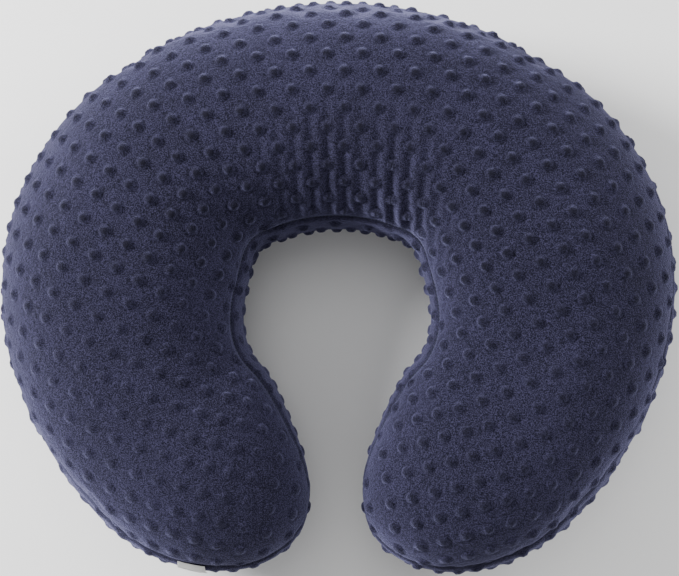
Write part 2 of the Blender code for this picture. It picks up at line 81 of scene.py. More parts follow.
# seams
OUTER_SEAM_RISE = 0.020
INNER_SEAM_RISE = 0.026
ZIP_RADIUS = 0.303
ZIP_CENTRE_Y = -0.0828277
ZIP_HALF_ANGLE = math.radians(23.8)
COVER_HALF_GAP = 0.0001  # each panel's part of the gap at a seam, to which the groove's lean adds
CASING_HALF_GAP = 0.0004
ZIP_REST = 21.0  # degrees from the middle of the back to the resting slider
ZIP_OPENING_HALF = 0.0039

# layers, counted inwards from the plush surface
COVER_WALL = 0.0016
CASING_INSET = 0.0043
CASING_WALL = 0.0008
FILL_INSET = 0.0060
ZIP_POCKET = 0.0022

# places derived from the sizes above
BACK_END = BACK_RADIUS * BACK_HALF_ANGLE
TIP_START = MIDDLE_LENGTH - TIP_LENGTH
RUN_END = TIP_START + TIP_CURVE
ZIP_STATION = BACK_RADIUS * ZIP_HALF_ANGLE
CUT_SPAN = 1.0  # side of the square of cloth that a panel is cut from
CUT_CENTRE = (0.0, 0.15)

# the cloth's lattice of dots: how many, where it lies on each panel's cut, and a dot's profile,
# with the ring's place and width as shares of the dot's radius
LATTICE_COLUMNS = 41
LATTICE_ROWS = 73
LATTICE_SHIFTS = {1: (0.009, -0.0094), -1: (0.0, 0.0)}
DOT_DOME_POWER = 3.6
DOT_RING_PLACE = 1.22
DOT_RING_WIDTH = 0.34

# for the top panel (1) and the bottom one (-1): widths of cloth from seam to seam, how much of the
# middle line's turn the flat cut keeps, and the columns of the cover's inner face
COVER_SPANS = {1: 0.205, -1: 0.302}
CASING_SPANS = {1: 0.19, -1: 0.28}
FILLING_SPANS = {1: 0.185, -1: 0.27}
CUT_TURNS = {1: 0.78, -1: 0.60}
COVER_LINING_COLUMNS = {1: 15, -1: 23}

CUT_TIP_SHARE = 0.15  # how much longer the cut is over a tip, as a share of the tip
FLOOR_CLEARANCE = 0.0003

# gathers at the back of the opening: how sharp and how far sunk between the ridges, where they
# start, are full and fade behind the seam, and where they lie across the cut
GATHER_POWER = 1.6
GATHER_SINK = 0.25
GATHER_START = 0.012
GATHER_FULL = 0.055
GATHER_FADE = 0.075
GATHER_MIDDLE = 0.022
GATHER_HALF_SPREAD = 0.035

# cloth held by the zip: how far beside it along the tube, and the angles round the tube
HELD_BESIDE_ZIP = 0.035
HELD_ANGLE = 0.16
HELD_FADE_ANGLE = 0.35

# knots of the random waves, and the pitch of the small folds at the inner and the outer seam
WAVE_KNOTS = 400
INNER_FOLD_PITCH = 0.0062
OUTER_FOLD_PITCH = 0.0072

# half widths of the grooves at the zip, the outer and the inner seam
ZIP_GROOVE = 0.0012
OUTER_GROOVE = 0.0034
INNER_GROOVE = 0.0028

# dots are flatter on the arms: from which station, over what length, and by what share
WORN_START = 0.19
WORN_LENGTH = 0.12
WORN_LEFT = 0.45
WORN_RIGHT = 0.20

# stage: what the camera looks at, the floor's half side, and each light's name, place and size
AIM = (0.0027, -0.0034)
FLOOR_REACH = 6.0
LIGHTS = (
    ("key_light", (-1.7, 0.6, 1.0), 0.9),
    ("fill_light", (1.7, 0.8, 0.7), 1.2),
    ("top_light", (-0.1, 0.6, 1.7), 1.2),
)

# meshes of the labels; the casing's label covers some columns of a grid of the bottom panel
CARE_LABEL_ROWS = 23
CARE_LABEL_COLUMNS = 15
CONTENTS_LABEL_GRID = (259, 61)
CONTENTS_LABEL_COLUMNS = slice(2, 14)
CONTENTS_LABEL_LIFT = 0.0007
CONTENTS_LABEL_THICKNESS = 0.0003

# a turn of the coil: its width and height before rounding, as shares of the coil's, and its lean
COIL_WIDTH_SHARE = 1.08
COIL_HEIGHT_SHARE = 1.02
COIL_LEAN = math.radians(9.0)

# how far the casing's folds and its sunk edge reach from a seam, and the fibre's tufts per metre
CASING_FOLD_REACH = 0.02
CASING_SINK_REACH = 0.03
TUFTS = 85.0

# stitches: from one to the next, then length, width and height
COVER_STITCH = (0.0027, (0.0026, 0.0007, 0.0007))
MACHINE_STITCH = (0.0030, (0.0028, 0.0006, 0.0006))
HAND_STITCH = (0.0042, (0.0034, 0.0008, 0.0007))


# ---------------------------------------------------------------- sizes and colours


def length(name, description, default):
    """A length among a group's sizes."""
    return FloatProperty(
        name=name, description=description, default=default, unit="LENGTH", precision=5
    )


def number(name, description, default):
    """A plain number among a group's sizes."""
    return FloatProperty(name=name, description=description, default=default)


def angle(name, description, default):
    """An angle among a group's sizes, given in degrees."""
    radians = math.radians(default)
    return FloatProperty(name=name, description=description, default=radians, subtype="ANGLE")


def colour(name, description, default):
    """A colour among a group's colours."""
    return FloatVectorProperty(
        name=name, description=description, default=default, subtype="COLOR", size=3
    )


class PillowCoverSizes(bpy.types.PropertyGroup):
    """Sizes of the plush cover"""

    column_pitch: length("Dot column pitch", "Distance between dots in a row of the cloth", 0.0255)
    row_pitch: length("Dot row pitch", "Distance between two rows of dots", 0.0141)
    dot_width: length("Dot width", "Width of a raised dot at its foot", 0.0092)
    dot_height: length("Dot height", "Height of a raised dot over the pile", 0.0027)
    dot_crease: length("Dot crease", "Depth of the pressed ring around a dot", 0.0004)
    gather_height: length("Gather height", "Height of the gathers at the back of the opening", 0.0025)
    pucker_height: length("Pucker height", "Height of the small folds that start at a seam", 0.0011)
    seam_depth: length("Seam depth", "How far a seam is pulled in below the pile", 0.0019)
    top_step: length("Top mesh step", "Spacing of the top panel's mesh", 0.00150)
    bottom_step: length("Bottom mesh step", "Spacing of the bottom panel's mesh", 0.00182)


class PillowClothSizes(bpy.types.PropertyGroup):
    """Sizes of the stuffing's effect on the cloth"""

    start_inset: length("Start inset", "How much smaller the slack cover is", 0.003)
    swell_limit: length("Swell limit", "How far the cloth may move from the sewn shape", 0.0016)
    pressure: number("Pressure", "Pressure of the stuffing in the simulation", 4.0)
    frames: IntProperty(name="Frames", description="Length of the simulation", default=20)
    slack: number("Slack", "Share by which the cloth is wider than the slack form", 0.022)
    lump_height: length("Lump height", "Height of the soft lumps that the stuffing leaves", 0.0016)


class PillowColours(bpy.types.PropertyGroup):
    """Colours of the pillow's cloth, thread and fittings"""

    pile: colour("Pile", "Colour of the plush pile", (0.0118, 0.0106, 0.0285))
    pile_light: colour("Brushed pile", "Colour of pile that faces the light", (0.0560, 0.0522, 0.1110))
    # the dark end of the pile's random grain, and the colour of painted shade on dot tops, round each
    # dot and in folds
    pile_dark_and_shade: colour("Dark pile and painted shade", "Colour of pile on dots and in folds", (0.0022, 0.0022, 0.0072))
    thread: colour("Thread", "Colour of the cover's thread", (0.050, 0.055, 0.105))
    tape: colour("Zip tape", "Colour of the zip's woven tapes", (0.018, 0.020, 0.045))
    coil: colour("Zip coil", "Colour of the zip's nylon coils", (0.022, 0.024, 0.052))
    metal: colour("Zip metal", "Colour of the slider, its pull and the stops", (0.56, 0.57, 0.60))
    casing: colour("Casing", "Colour of the filling's cotton casing", (0.78, 0.77, 0.74))
    filling: colour("Filling", "Colour of the fibre filling", (0.86, 0.86, 0.85))
    label: colour("Label", "Colour of the satin labels", (0.80, 0.80, 0.79))


class PillowZipSizes(bpy.types.PropertyGroup):
    """Sizes of the zip"""

    coil_pitch: length("Coil pitch", "Distance between two turns of a coil", 0.00118)
    coil_turn: length("Coil turn", "Thickness of one turn along the zip", 0.00078)
    coil_half_width: length("Coil half width", "Reach of a coil from the zip's middle", 0.0021)
    coil_split: length("Coil split", "Half of the gap between the coils", 0.00015)
    coil_face: length("Coil face", "Depth of the coil's face below the pile", 0.0007)
    coil_thickness: length("Coil thickness", "Thickness of the coil over its tape", 0.0018)
    stitch_from_edge: length("Stitch place", "From the cover's folded edge to the stitches", 0.0020)
    stitch_length: length("Stitch length", "Length of one stitch", 0.0027)
    stitch_width: length("Stitch width", "Thickness of the thread", 0.0007)
    stitch_pitch: length("Stitch pitch", "Distance between two stitches", 0.0031)
    stitch_lift: length("Stitch lift", "Height of the thread's middle over the pile", 0.0001)
    slider_length: length("Slider length", "Length of the slider's body", 0.0085)
    wedge_reach: length("Wedge reach", "From the slider's nose to the last closed turn", 0.0030)
    stop_length: length("Stop length", "Length of a stop along the zip", 0.0016)
    stop_gap: length("Stop gap", "Gap between a stop and its neighbour", 0.0006)
    metal_bevel: length("Metal rounding", "Rounding of the metal pieces' edges", 0.00014)


class PillowCasingSizes(bpy.types.PropertyGroup):
    """Sizes of the casing, the filling and the labels"""

    casing_step: length("Casing mesh step", "Spacing of the casing's mesh", 0.0042)
    casing_pucker: length("Casing pucker", "Depth of the folds along the casing's seams", 0.0006)
    hand_sewn: length("Hand-sewn half length", "Half of the seam that is closed by hand", 0.0445)
    filling_step: length("Filling mesh step", "Spacing of the filling's mesh", 0.0040)
    filling_tuft: length("Filling tuft", "Depth of the hollows between tufts of fibre", 0.0022)
    label_from_tip: length("Label place", "From an arm's tip to the care label", 0.061)
    label_width: length("Label width", "Width of the care label along the middle line", 0.014)
    label_drop: length("Label drop", "How far the folded care label hangs", 0.020)
    label_root: length("Label root", "Depth of the care label's sewn end in the seam", 0.0012)
    label_clear: length("Label clearance", "From the pile to the hanging label", 0.0013)
    label_fold: length("Label fold", "Gap between the label's two layers", 0.0007)
    label_curl: length("Label curl", "Curl across the care label", 0.0003)
    label_thickness: length("Label thickness", "Thickness of the satin", 0.00025)
    casing_label_start: length("Contents label start", "Where the casing's label starts", 0.2075)
    casing_label_stop: length("Contents label stop", "Where the casing's label ends", 0.2545)


class PillowStage(bpy.types.PropertyGroup):
    """Camera, floor and lights"""

    distance: length("Camera distance", "From the camera to the pillow's widest level", 1.30)
    view_width: length("View width", "Width of the view at the pillow's widest level", 0.5275)
    tilt: angle("Tilt", "Lean of the camera towards the arms", 6.3)
    lean: angle("Lean", "Lean of the camera towards the right arm", 2.5)
    key_power: number("Key light", "Power of the soft light from the left", 124.0)
    fill_power: number("Fill light", "Power of the soft light from the right", 34.0)
    top_power: number("Top light", "Power of the soft light from above the back", 4.0)
    sky: number("Sky", "Strength of the even light from all sides", 0.60)


# ---------------------------------------------------------------- form of the stuffed tube


def ease(value):
    """Smooth step from 0 to 1."""
    value = np.clip(value, 0.0, 1.0)
    return value * value * (3.0 - 2.0 * value)


def signed_power(value, exponent):
    """Power that keeps the sign."""
    return np.sign(value) * np.abs(value) ** exponent


def middle_line(station, share=1.0):
    """Plan points and headings at stations of a half.

    A share below 1 opens the curve, as in the flat cut.
    """
    left = np.array(station, float)
    heading = np.zeros_like(left)
    across = np.zeros_like(left)
    forwards = np.full_like(left, BACK_RADIUS)
    for radius, turn in MIDDLE_ARCS:
        part = np.clip(left * share / radius, 0.0, turn * share)
        across += radius / share * (np.sin(heading + part) - np.sin(heading))
        forwards += radius / share * (np.cos(heading + part) - np.cos(heading))
        heading += part
        left -= part * radius / share
    return across, forwards, heading


def along(station, values):
    """Size at a station, from those at the back, the side and the arm."""
    to_side = ease((station - BACK_END) / (SIDE_STATION - BACK_END))
    to_arm = ease((station - SIDE_STATION) / (TIP_START - SIDE_STATION))
    return values[0] + (values[1] - values[0]) * to_side + (values[2] - values[1]) * to_arm


def tube_place(run):
    """Side, station, share of the tip and fullness at a distance over the tube from its middle."""
    over = np.clip((np.abs(run) - TIP_START) / TIP_CURVE, 0.0, 1.0) * math.pi / 2
    share = np.sin(over) ** TIP_POWER
    fullness = np.maximum(np.cos(over), 0.0) ** TIP_POWER
    station = np.minimum(np.abs(run), TIP_START) + TIP_LENGTH * share
    return np.where(run < 0.0, -1.0, 1.0), station, share, fullness


def tube_point(run, angle, inset):
    """Points of the tube at a run and an angle round it, on a layer at an inset."""
    side, station, share, fullness = tube_place(run)
    across, forwards, heading = middle_line(station - share * inset)
    width = fullness * (along(station, HALF_WIDTHS) - inset)
    rise = signed_power(np.sin(angle), 2.0 / SECTION_POWER)
    out = width * signed_power(np.cos(angle), 2.0 / SECTION_POWER)
    span = np.where(rise > 0.0, along(station, CROWNS) - inset, WIDEST_LEVEL + SETTLE - inset)
    height = np.maximum(WIDEST_LEVEL + fullness * rise * span, inset)
    x = side * (across + out * np.sin(heading))
    y = forwards + out * np.cos(heading) + ZIP_CENTRE_Y
    return np.stack(np.broadcast_arrays(x, y, height), -1)


def angle_at(rise, station):
    """Angle round the tube where its surface is a rise over the widest level."""
    span = np.where(rise > 0.0, along(station, CROWNS), WIDEST_LEVEL + SETTLE)
    return np.arcsin(signed_power(rise / span, SECTION_POWER / 2.0))


def panel_angles(run, side, columns, slot):
    """Angles of a panel's columns: from the outer seam, or the zip's edge, to the inner seam."""
    station = tube_place(run)[1]
    outer_rise = OUTER_SEAM_RISE * ease((station - BACK_END) / (SIDE_STATION - BACK_END))
    opening = slot * ease((BACK_END - station) / (BACK_END - ZIP_STATION))
    first = angle_at(outer_rise + side * opening, station)
    last = math.pi - angle_at(np.full_like(station, INNER_SEAM_RISE), station)
    if side < 0:
        last = last - 2.0 * math.pi
    part = np.linspace(0.0, 1.0, columns + 1)
    return first[:, None] * (1.0 - part) + last[:, None] * part


# ---------------------------------------------------------------- grids and meshes


def resample(values, count, axis):
    """Smooth values at evenly spaced places between the first and the last along an axis."""
    values = np.moveaxis(values, axis, 0)
    place = np.linspace(0.0, len(values) - 1.0, count)
    low = np.minimum(place.astype(int), len(values) - 2)
    part = (place - low).reshape([-1] + [1] * (values.ndim - 1))
    ends = (2.0 * values[:1] - values[1:2], values, 2.0 * values[-1:] - values[-2:-1])
    extended = np.concatenate(ends)
    before, start, end, after = (extended[low + step] for step in range(4))
    bend = 2.0 * before - 5.0 * start + 4.0 * end - after
    twist = 3.0 * (start - end) + after - before
    result = start + 0.5 * part * (end - before + part * (bend + part * twist))
    return np.moveaxis(result, 0, axis)


def grid_indices(rows, columns, first):
    """Vertex numbers of a grid whose first and last rows are single points."""
    numbers = np.zeros((rows, columns), int)
    numbers[0] = first
    numbers[1:-1] = first + 1 + np.arange((rows - 2) * columns).reshape(rows - 2, columns)
    numbers[-1] = first + 1 + (rows - 2) * columns
    return numbers


def grid_points(points):
    """Points of such a grid, in the order of their numbers."""
    inner = points[1:-1].reshape(-1, points.shape[-1])
    return np.concatenate([points[0, :1], inner, points[-1, :1]])


def strip_faces(first, second):
    """Faces between two lines of vertex numbers, with triangles where they meet."""
    faces = []
    for a, b, c, d in zip(first[:-1], first[1:], second[1:], second[:-1]):
        corners = list(dict.fromkeys((int(a), int(b), int(c), int(d))))
        if len(corners) > 2:
            faces.append(corners)
    return faces


def grid_faces(numbers, flip):
    """Faces of a grid of vertex numbers."""
    faces = []
    for first, second in zip(numbers.T[:-1], numbers.T[1:]):
        faces += strip_faces(second, first) if flip else strip_faces(first, second)
    return faces


def show(name, mesh):
    """Link a mesh as an object, shaded smooth."""
    piece = bpy.data.objects.new(name, mesh)
    bpy.context.collection.objects.link(piece)
    mesh.shade_smooth()
    return piece


def make_mesh(name, points, faces):
    """Mesh from points and faces."""
    mesh = bpy.data.meshes.new(name)
    mesh.from_pydata(points.tolist(), [], faces)
    mesh.update()
    return mesh


def point_values(mesh, name, values):
    """Store a number at each vertex."""
    layer = mesh.attributes.new(name, "FLOAT", "POINT")
    layer.data.foreach_set("value", np.ascontiguousarray(values, np.float32))


def surface_normals(points):
    """Outward directions of a panel's grid of points."""
    down = np.gradient(points, axis=0)
    across = np.gradient(points, axis=1)
    normals = np.cross(across, down)
    for pole, next_row in ((0, 1), (-1, -2)):
        normals[pole] = normals[next_row].mean(0)
    return normals / np.maximum(np.linalg.norm(normals, axis=-1, keepdims=True), 1e-12)


def clear_distance(points):
    """Distances round the tube from a panel's points to its outer and its inner edge."""
    steps = np.linalg.norm(np.diff(points, axis=1), axis=-1)
    travelled = np.concatenate([np.zeros((len(points), 1)), np.cumsum(steps, 1)], 1)
    return travelled, travelled[:, -1:] - travelled


# ---------------------------------------------------------------- stuffing


class Stuffing:
    """How far the stuffed cloth stands from the sewn form, on a coarse grid of each panel."""

    ROWS = 131
    COLUMNS = {1: 26, -1: 38}
    WIDE_LUMPS = 13.0  # lumps per metre
    SMALL_LUMPS = 31.0
    SMALL_SHARE = 0.35

    def __init__(self, sizes):
        run = np.linspace(-RUN_END, RUN_END, self.ROWS)
        self.run = run
        self.angles = {side: panel_angles(run, side, self.COLUMNS[side], 0.0) for side in (1, -1)}
        self.away = {}
        forms = {}
        for side, angles in self.angles.items():
            flat = tube_point(run[:, None], angles, 0.0)
            near_zip = self.zip_share(run[:, None], angles)
            slack = tube_point(run[:, None], angles, sizes.start_inset)
            forms[side] = flat
            self.away[side] = (slack - flat) * (1.0 - near_zip[..., None])
        self.simulate(sizes, forms)
        for side, flat in forms.items():
            self.add_lumps(sizes, flat, side)

    @staticmethod
    def zip_share(run, angle):
        """1 around the zip, where the cloth is held by its tapes, and 0 away from it."""
        beside = 1.0 - ease((np.abs(run) - ZIP_STATION) / HELD_BESIDE_ZIP)
        height = np.minimum(np.abs(angle), np.abs(angle + 2.0 * math.pi))
        return beside * (1.0 - ease((height - HELD_ANGLE) / HELD_FADE_ANGLE))

    def simulate(self, sizes, forms):
        """Blow the slack cover up as cloth that is held along its seams."""
        top = self.away[1] + forms[1]
        bottom = self.away[-1] + forms[-1]
        ring = np.concatenate([top, bottom[:, -2:0:-1]], 1)
        columns = ring.shape[1]
        numbers = grid_indices(self.ROWS, columns, 0)
        closed = np.concatenate([numbers, numbers[:, :1]], 1)
        mesh = make_mesh("slack_cover", grid_points(ring), grid_faces(closed, True))
        cover = show("slack_cover", mesh)
        held = cover.vertex_groups.new(name="held")
        seam_columns = (0, self.COLUMNS[1])
        zip_share = np.concatenate([
            self.zip_share(self.run[:, None], self.angles[1]),
            self.zip_share(self.run[:, None], self.angles[-1])[:, -2:0:-1],
        ], 1)
        for column in range(columns):
            for row in range(self.ROWS):
                weight = 1.0 if column in seam_columns else float(zip_share[row, column])
                if weight > 0.02:
                    held.add([int(numbers[row, column])], weight, "REPLACE")
        cloth = cover.modifiers.new("cloth", "CLOTH")
        cloth.settings.quality = 6
        cloth.settings.pin_stiffness = 5.0
        cloth.settings.vertex_group_mass = "held"
        cloth.settings.use_pressure = True
        cloth.settings.uniform_pressure_force = sizes.pressure
        cloth.settings.shrink_min = -sizes.slack
        cloth.settings.shrink_max = -sizes.slack
        cloth.settings.bending_stiffness = 2.0
        cloth.settings.effector_weights.gravity = 0.0
        cloth.collision_settings.use_collision = False
        scene = bpy.context.scene
        for number in range(1, sizes.frames + 1):
            scene.frame_set(number)
        swollen = cover.evaluated_get(bpy.context.evaluated_depsgraph_get())
        result = np.empty(len(mesh.vertices) * 3)
        swollen.data.vertices.foreach_get("co", result)
        scene.frame_set(1)
        ring = result.reshape(-1, 3)[numbers]
        bpy.data.objects.remove(cover)
        parts = {1: ring[:, :self.COLUMNS[1] + 1]}
        far = np.concatenate([ring[:, self.COLUMNS[1]:], ring[:, :1]], 1)
        parts[-1] = far[:, ::-1]
        for side, swollen_part in parts.items():
            move = swollen_part - forms[side]
            length = np.linalg.norm(move, axis=-1, keepdims=True)
            limit = sizes.swell_limit
            self.away[side] = move * np.minimum(1.0, limit / np.maximum(length, 1e-9))

    def add_lumps(self, sizes, flat, side):
        """Soft lumps and hollows, fading at the seams and the zip."""
        normals = surface_normals(flat) * side
        out, back = clear_distance(flat)
        free = ease(np.minimum(out, back) / 0.03)
        free = free * (1.0 - self.zip_share(self.run[:, None], self.angles[side]))
        height = np.zeros(flat.shape[:2])
        for row in range(flat.shape[0]):
            for column in range(flat.shape[1]):
                point = Vector(flat[row, column])
                wide = noise.noise(point * self.WIDE_LUMPS)
                small = noise.noise(point * self.SMALL_LUMPS + Vector((5.0, 1.0, 9.0)))
                height[row, column] = wide + self.SMALL_SHARE * small
        lift = sizes.lump_height * height * free * np.where(flat[..., 2] > 0.004, 1.0, 0.0)
        self.away[side] = self.away[side] + normals * lift[..., None]

    def on_grid(self, side, rows, columns):
        """The same on a panel's grid with other numbers of rows and columns."""
        return resample(resample(self.away[side], rows, 0), columns, 1)


made = {}


def stuffing():
    """The shared stuffing, simulated once."""
    if "stuffing" not in made:
        made["stuffing"] = Stuffing(bpy.context.scene.pillow_cloth)
    return made["stuffing"]


def layer_grid(side, rows, columns, inset, slot, pocket=0.0):
    """Grid of points of a layer's panel, with the stuffing's effect."""
    run = np.linspace(-RUN_END, RUN_END, rows)
    angles = panel_angles(run, side, columns - 1, slot)
    near_zip = Stuffing.zip_share(run[:, None], angles)
    plain = tube_point(run[:, None], angles, inset)
    if pocket:
        deeper = tube_point(run[:, None], angles, inset + pocket)
        plain = plain + (deeper - plain) * near_zip[..., None]
    points = plain + stuffing().on_grid(side, rows, columns)
    points[..., 2] = np.maximum(points[..., 2], inset)
    return run, angles, points


def wall_mesh(name, outer, inner, side):
    """Closed panel from its outer grid and a coarser inner one with as many rows."""
    outer_numbers = grid_indices(*outer.shape[:2], 0)
    outer_points = grid_points(outer)
    inner_numbers = grid_indices(*inner.shape[:2], len(outer_points))
    faces = grid_faces(outer_numbers, side > 0)
    outer_faces = len(faces)
    faces += grid_faces(inner_numbers, side < 0)
    first_rim = (outer_numbers[:, 0], inner_numbers[:, 0])
    last_rim = (inner_numbers[:, -1], outer_numbers[:, -1])
    for first, second in (first_rim, last_rim):
        faces += strip_faces(first, second) if side > 0 else strip_faces(second, first)
    mesh = make_mesh(name, np.concatenate([outer_points, grid_points(inner)]), faces)
    return mesh, outer_faces


def flat_cut(run, angles, points, side):
    """Where each point of a panel lies on the flat cloth that it was cut from."""
    _, station, share, _ = tube_place(run)
    beyond = CUT_TIP_SHARE * TIP_LENGTH * share
    across, forwards, heading = middle_line(station + beyond, CUT_TURNS[side])
    travelled, _ = clear_distance(points)
    crown = math.pi / 2 * side
    columns = points.shape[1] - 1
    place = (crown - angles[:, 0]) / (angles[:, -1] - angles[:, 0]) * columns
    low = place.astype(int)
    rows = np.arange(len(run))
    start, stop = travelled[rows, low], travelled[rows, low + 1]
    middle = start + (place - low) * (stop - start)
    out = middle[:, None] - travelled
    sign = np.where(run < 0.0, -1.0, 1.0)[:, None]
    x = sign * (across[:, None] + out * np.sin(heading)[:, None])
    y = forwards[:, None] - BACK_RADIUS + out * np.cos(heading)[:, None]
    return np.stack([x, y], -1)


def cut_map(place):
    """Map coordinates, from 0 to 1, of a place on the flat cloth."""
    return (place + np.array(CUT_CENTRE)) / CUT_SPAN + 0.5


# ---------------------------------------------------------------- node trees


class Link:
    """A socket that takes part in Python arithmetic, adding its Math nodes."""

    def __init__(self, tree, socket):
        self.tree = tree
        self.socket = socket

    def math(self, operation, first, second=0.0):
        """Add a Math node."""
        return self.tree.add("ShaderNodeMath", {"operation": operation}, {0: first, 1: second})

    def clipped(self):
        """The value held between 0 and 1."""
        return self.math("MAXIMUM", self.math("MINIMUM", self, 1.0), 0.0)


def arithmetic(operation, swapped):
    """A method that adds the Math node of a Python operator."""

    def method(self, other):
        return self.math(operation, *((other, self) if swapped else (self, other)))

    return method


for sign, node_operation in (("add", "ADD"), ("sub", "SUBTRACT"), ("mul", "MULTIPLY")):
    setattr(Link, f"__{sign}__", arithmetic(node_operation, False))
    setattr(Link, f"__r{sign}__", arithmetic(node_operation, True))
Link.__truediv__ = arithmetic("DIVIDE", False)
Link.__pow__ = arithmetic("POWER", False)


class Tree:
    """Adds nodes to a node tree and links them."""

    def __init__(self, tree):
        self.tree = tree

    def add(self, kind, settings=None, sockets=None, output=0):
        """Add a node with its settings and its set or linked sockets; returns one of its outputs."""
        node = self.tree.nodes.new(kind)
        for name, value in (settings or {}).items():
            if name == "stops":
                self.set_stops(node.color_ramp, value)
            else:
                setattr(node, name, value)
        for name, value in (sockets or {}).items():
            socket = self.find(node.inputs, name)
            if isinstance(value, Link):
                self.tree.links.new(value.socket, socket)
            else:
                socket.default_value = value
        return Link(self, self.find(node.outputs, output))

    @staticmethod
    def find(sockets, name):
        """Socket by number, identifier or name."""
        if isinstance(name, int):
            return sockets[name]
        for socket in sockets:
            if socket.identifier == name:
                return socket
        return sockets[name]

    @staticmethod
    def set_stops(ramp, stops):
        """Stops of a ramp, as pairs of place and grey or colour."""
        while len(ramp.elements) < len(stops):
            ramp.elements.new(0.5)
        for element, (place, value) in zip(ramp.elements, stops):
            element.position = place
            element.color = (*(value if isinstance(value, tuple) else (value,) * 3), 1.0)

    def blend(self, factor, first, second, how="MIX"):
        """Mix two colours."""
        settings = {"data_type": "RGBA", "blend_type": how}
        sockets = {"Factor_Float": factor, "A_Color": first, "B_Color": second}
        return self.add("ShaderNodeMix", settings, sockets, "Result_Color")

    def vector(self, operation, first, second=None, scale=None):
        """Vector Math node."""
        sockets = {0: first}
        if second is not None:
            sockets[1] = second
        if scale is not None:
            sockets["Scale"] = scale
        return self.add("ShaderNodeVectorMath", {"operation": operation}, sockets)


class Finish(Tree):
    """A material: nodes for its pattern, ending in one surface."""

    def __init__(self, name, **constants):
        self.material = bpy.data.materials.new(name)
        self.material.use_nodes = True
        super().__init__(self.material.node_tree)
        self.tree.nodes.clear()
        self.surface = self.tree.nodes.new("ShaderNodeBsdfPrincipled")
        output = self.tree.nodes.new("ShaderNodeOutputMaterial")
        self.tree.links.new(self.surface.outputs[0], output.inputs[0])
        for socket, value in constants.items():
            label = socket.replace("_", " ").title().replace("Ior", "IOR")
            self.surface.inputs[label].default_value = value

    def place(self):
        """Object coordinates, in metres."""
        return self.add("ShaderNodeTexCoord", output="Object")

    def stretched(self, scale, turn=(0.0, 0.0, 0.0)):
        """Object coordinates scaled along each axis."""
        sockets = {"Vector": self.place(), "Scale": scale, "Rotation": turn}
        return self.add("ShaderNodeMapping", {}, sockets)

    def grain(self, scale, detail=2.0, roughness=0.5, where=None):
        """Noise with about as many grains per metre as its scale."""
        sockets = {"Vector": where or self.place(), "Scale": scale}
        sockets.update({"Detail": detail, "Roughness": roughness})
        return self.add("ShaderNodeTexNoise", {}, sockets)

    def ramp(self, value, *stops):
        """Colour ramp of greys or colours."""
        return self.add("ShaderNodeValToRGB", {"stops": stops}, {0: value})

    def stored(self, name):
        """A number stored on the mesh."""
        return self.add("ShaderNodeAttribute", {"attribute_name": name}, output="Fac")

    def finish(self, colour, roughness, height, distance, strength=1.0):
        """Link what varies over the surface."""
        sockets = {"Strength": strength, "Distance": distance, "Height": height}
        bump = self.add("ShaderNodeBump", {}, sockets)
        for name, link in (("Base Color", colour), ("Roughness", roughness), ("Normal", bump)):
            self.tree.links.new(link.socket, self.surface.inputs[name])
        return self.material


def colour_of(name):
    """A colour of the panel, with alpha."""
    return (*getattr(bpy.context.scene.pillow_colours, name), 1.0)


def shade(colour, factor):
    """The same colour, lighter or darker."""
    return (*(min(part * factor, 1.0) for part in colour[:3]), 1.0)


def plush_finish():
    """Short brushed pile: fine grain, brushed patches, and painted shade darkening the dot tops, the
    creases round them and the folds.
    """
    finish = Finish(
        "plush_pile",
        sheen_weight=0.46,
        sheen_roughness=0.42,
        sheen_tint=(0.44, 0.44, 0.78, 1.0),
        specular_ior_level=0.12,
        diffuse_roughness=1.0,
    )
    grain = finish.grain(1200.0, 2.0, 0.75)
    tuft = finish.grain(420.0, 1.0, 0.5)
    patch = finish.grain(55.0, 2.0, 0.5)
    wide = finish.grain(11.0, 1.0, 0.4)
    speckle = (grain - 0.5) * 7.0
    for part in (tuft, patch, wide):
        speckle = speckle + (part - 0.5) * 0.5
    speckle = speckle + 0.36
    dot = finish.stored("dot")
    crease = finish.stored("crease")
    fold = finish.stored("fold")
    base = finish.blend(speckle.clipped(), colour_of("pile_dark_and_shade"), colour_of("pile_light"))
    base = finish.blend(0.2, base, colour_of("pile"))
    # painted shade: dot tops, the rings round them, the gathers' valleys and the seam grooves are
    # darkened towards the dark pile colour
    pressed_and_painted_shade = (dot * dot * 0.95 + crease * 0.3 + fold * 0.5).clipped() * 0.84
    base = finish.blend(pressed_and_painted_shade, base, colour_of("pile_dark_and_shade"))
    height = grain * 0.7 + tuft * 0.5
    return finish.finish(base, 0.84 + patch * 0.14, height, 0.0011, 0.9)


def thread_finish(name, colour):
    """Twisted sewing thread."""
    finish = Finish(name, sheen_weight=0.15, specular_ior_level=0.35)
    twist = finish.grain(2600.0, 1.0)
    body = finish.grain(240.0, 2.0)
    base = finish.blend((twist * 1.4 - 0.2).clipped(), shade(colour, 0.55), shade(colour, 1.4))
    return finish.finish(base, 0.55 + body * 0.25, twist, 0.00015)


def weave_height(finish, threads, turn=0.0):
    """Height of crossed threads, a number of them per metre."""
    threads_of = []
    for direction, scale in (("X", (1.0, 1.0, 1.0)), ("DIAGONAL", (0.3, 1.0, 1.0))):
        settings = {"wave_type": "BANDS", "bands_direction": direction}
        place = finish.stretched(scale, (0.0, 0.0, turn))
        sockets = {"Vector": place, "Scale": threads, "Distortion": 0.6, "Detail Scale": 2.0}
        threads_of.append(finish.add("ShaderNodeTexWave", settings, sockets, "Fac"))
    return threads_of[0] * 0.5 + threads_of[1] * 0.5


def cloth_finish(name, colour, threads, turn=0.0, sheen=0.2, gloss=0.0):
    """Woven cloth: crossed threads, slubs and faint soiling."""
    finish = Finish(name, sheen_weight=sheen, specular_ior_level=0.25 + gloss)
    weave = weave_height(finish, threads, turn)
    slub = finish.grain(160.0, 3.0, where=finish.stretched((1.0, 0.15, 1.0)))
    age = finish.grain(14.0, 3.0)
    tone = (weave * 0.5 + slub * 0.5 + age * 0.4 - 0.2).clipped()
    base = finish.blend(tone, shade(colour, 0.72), shade(colour, 1.12))
    return finish.finish(base, 0.86 - gloss + slub * 0.1, weave + slub * 0.4, 0.00022)


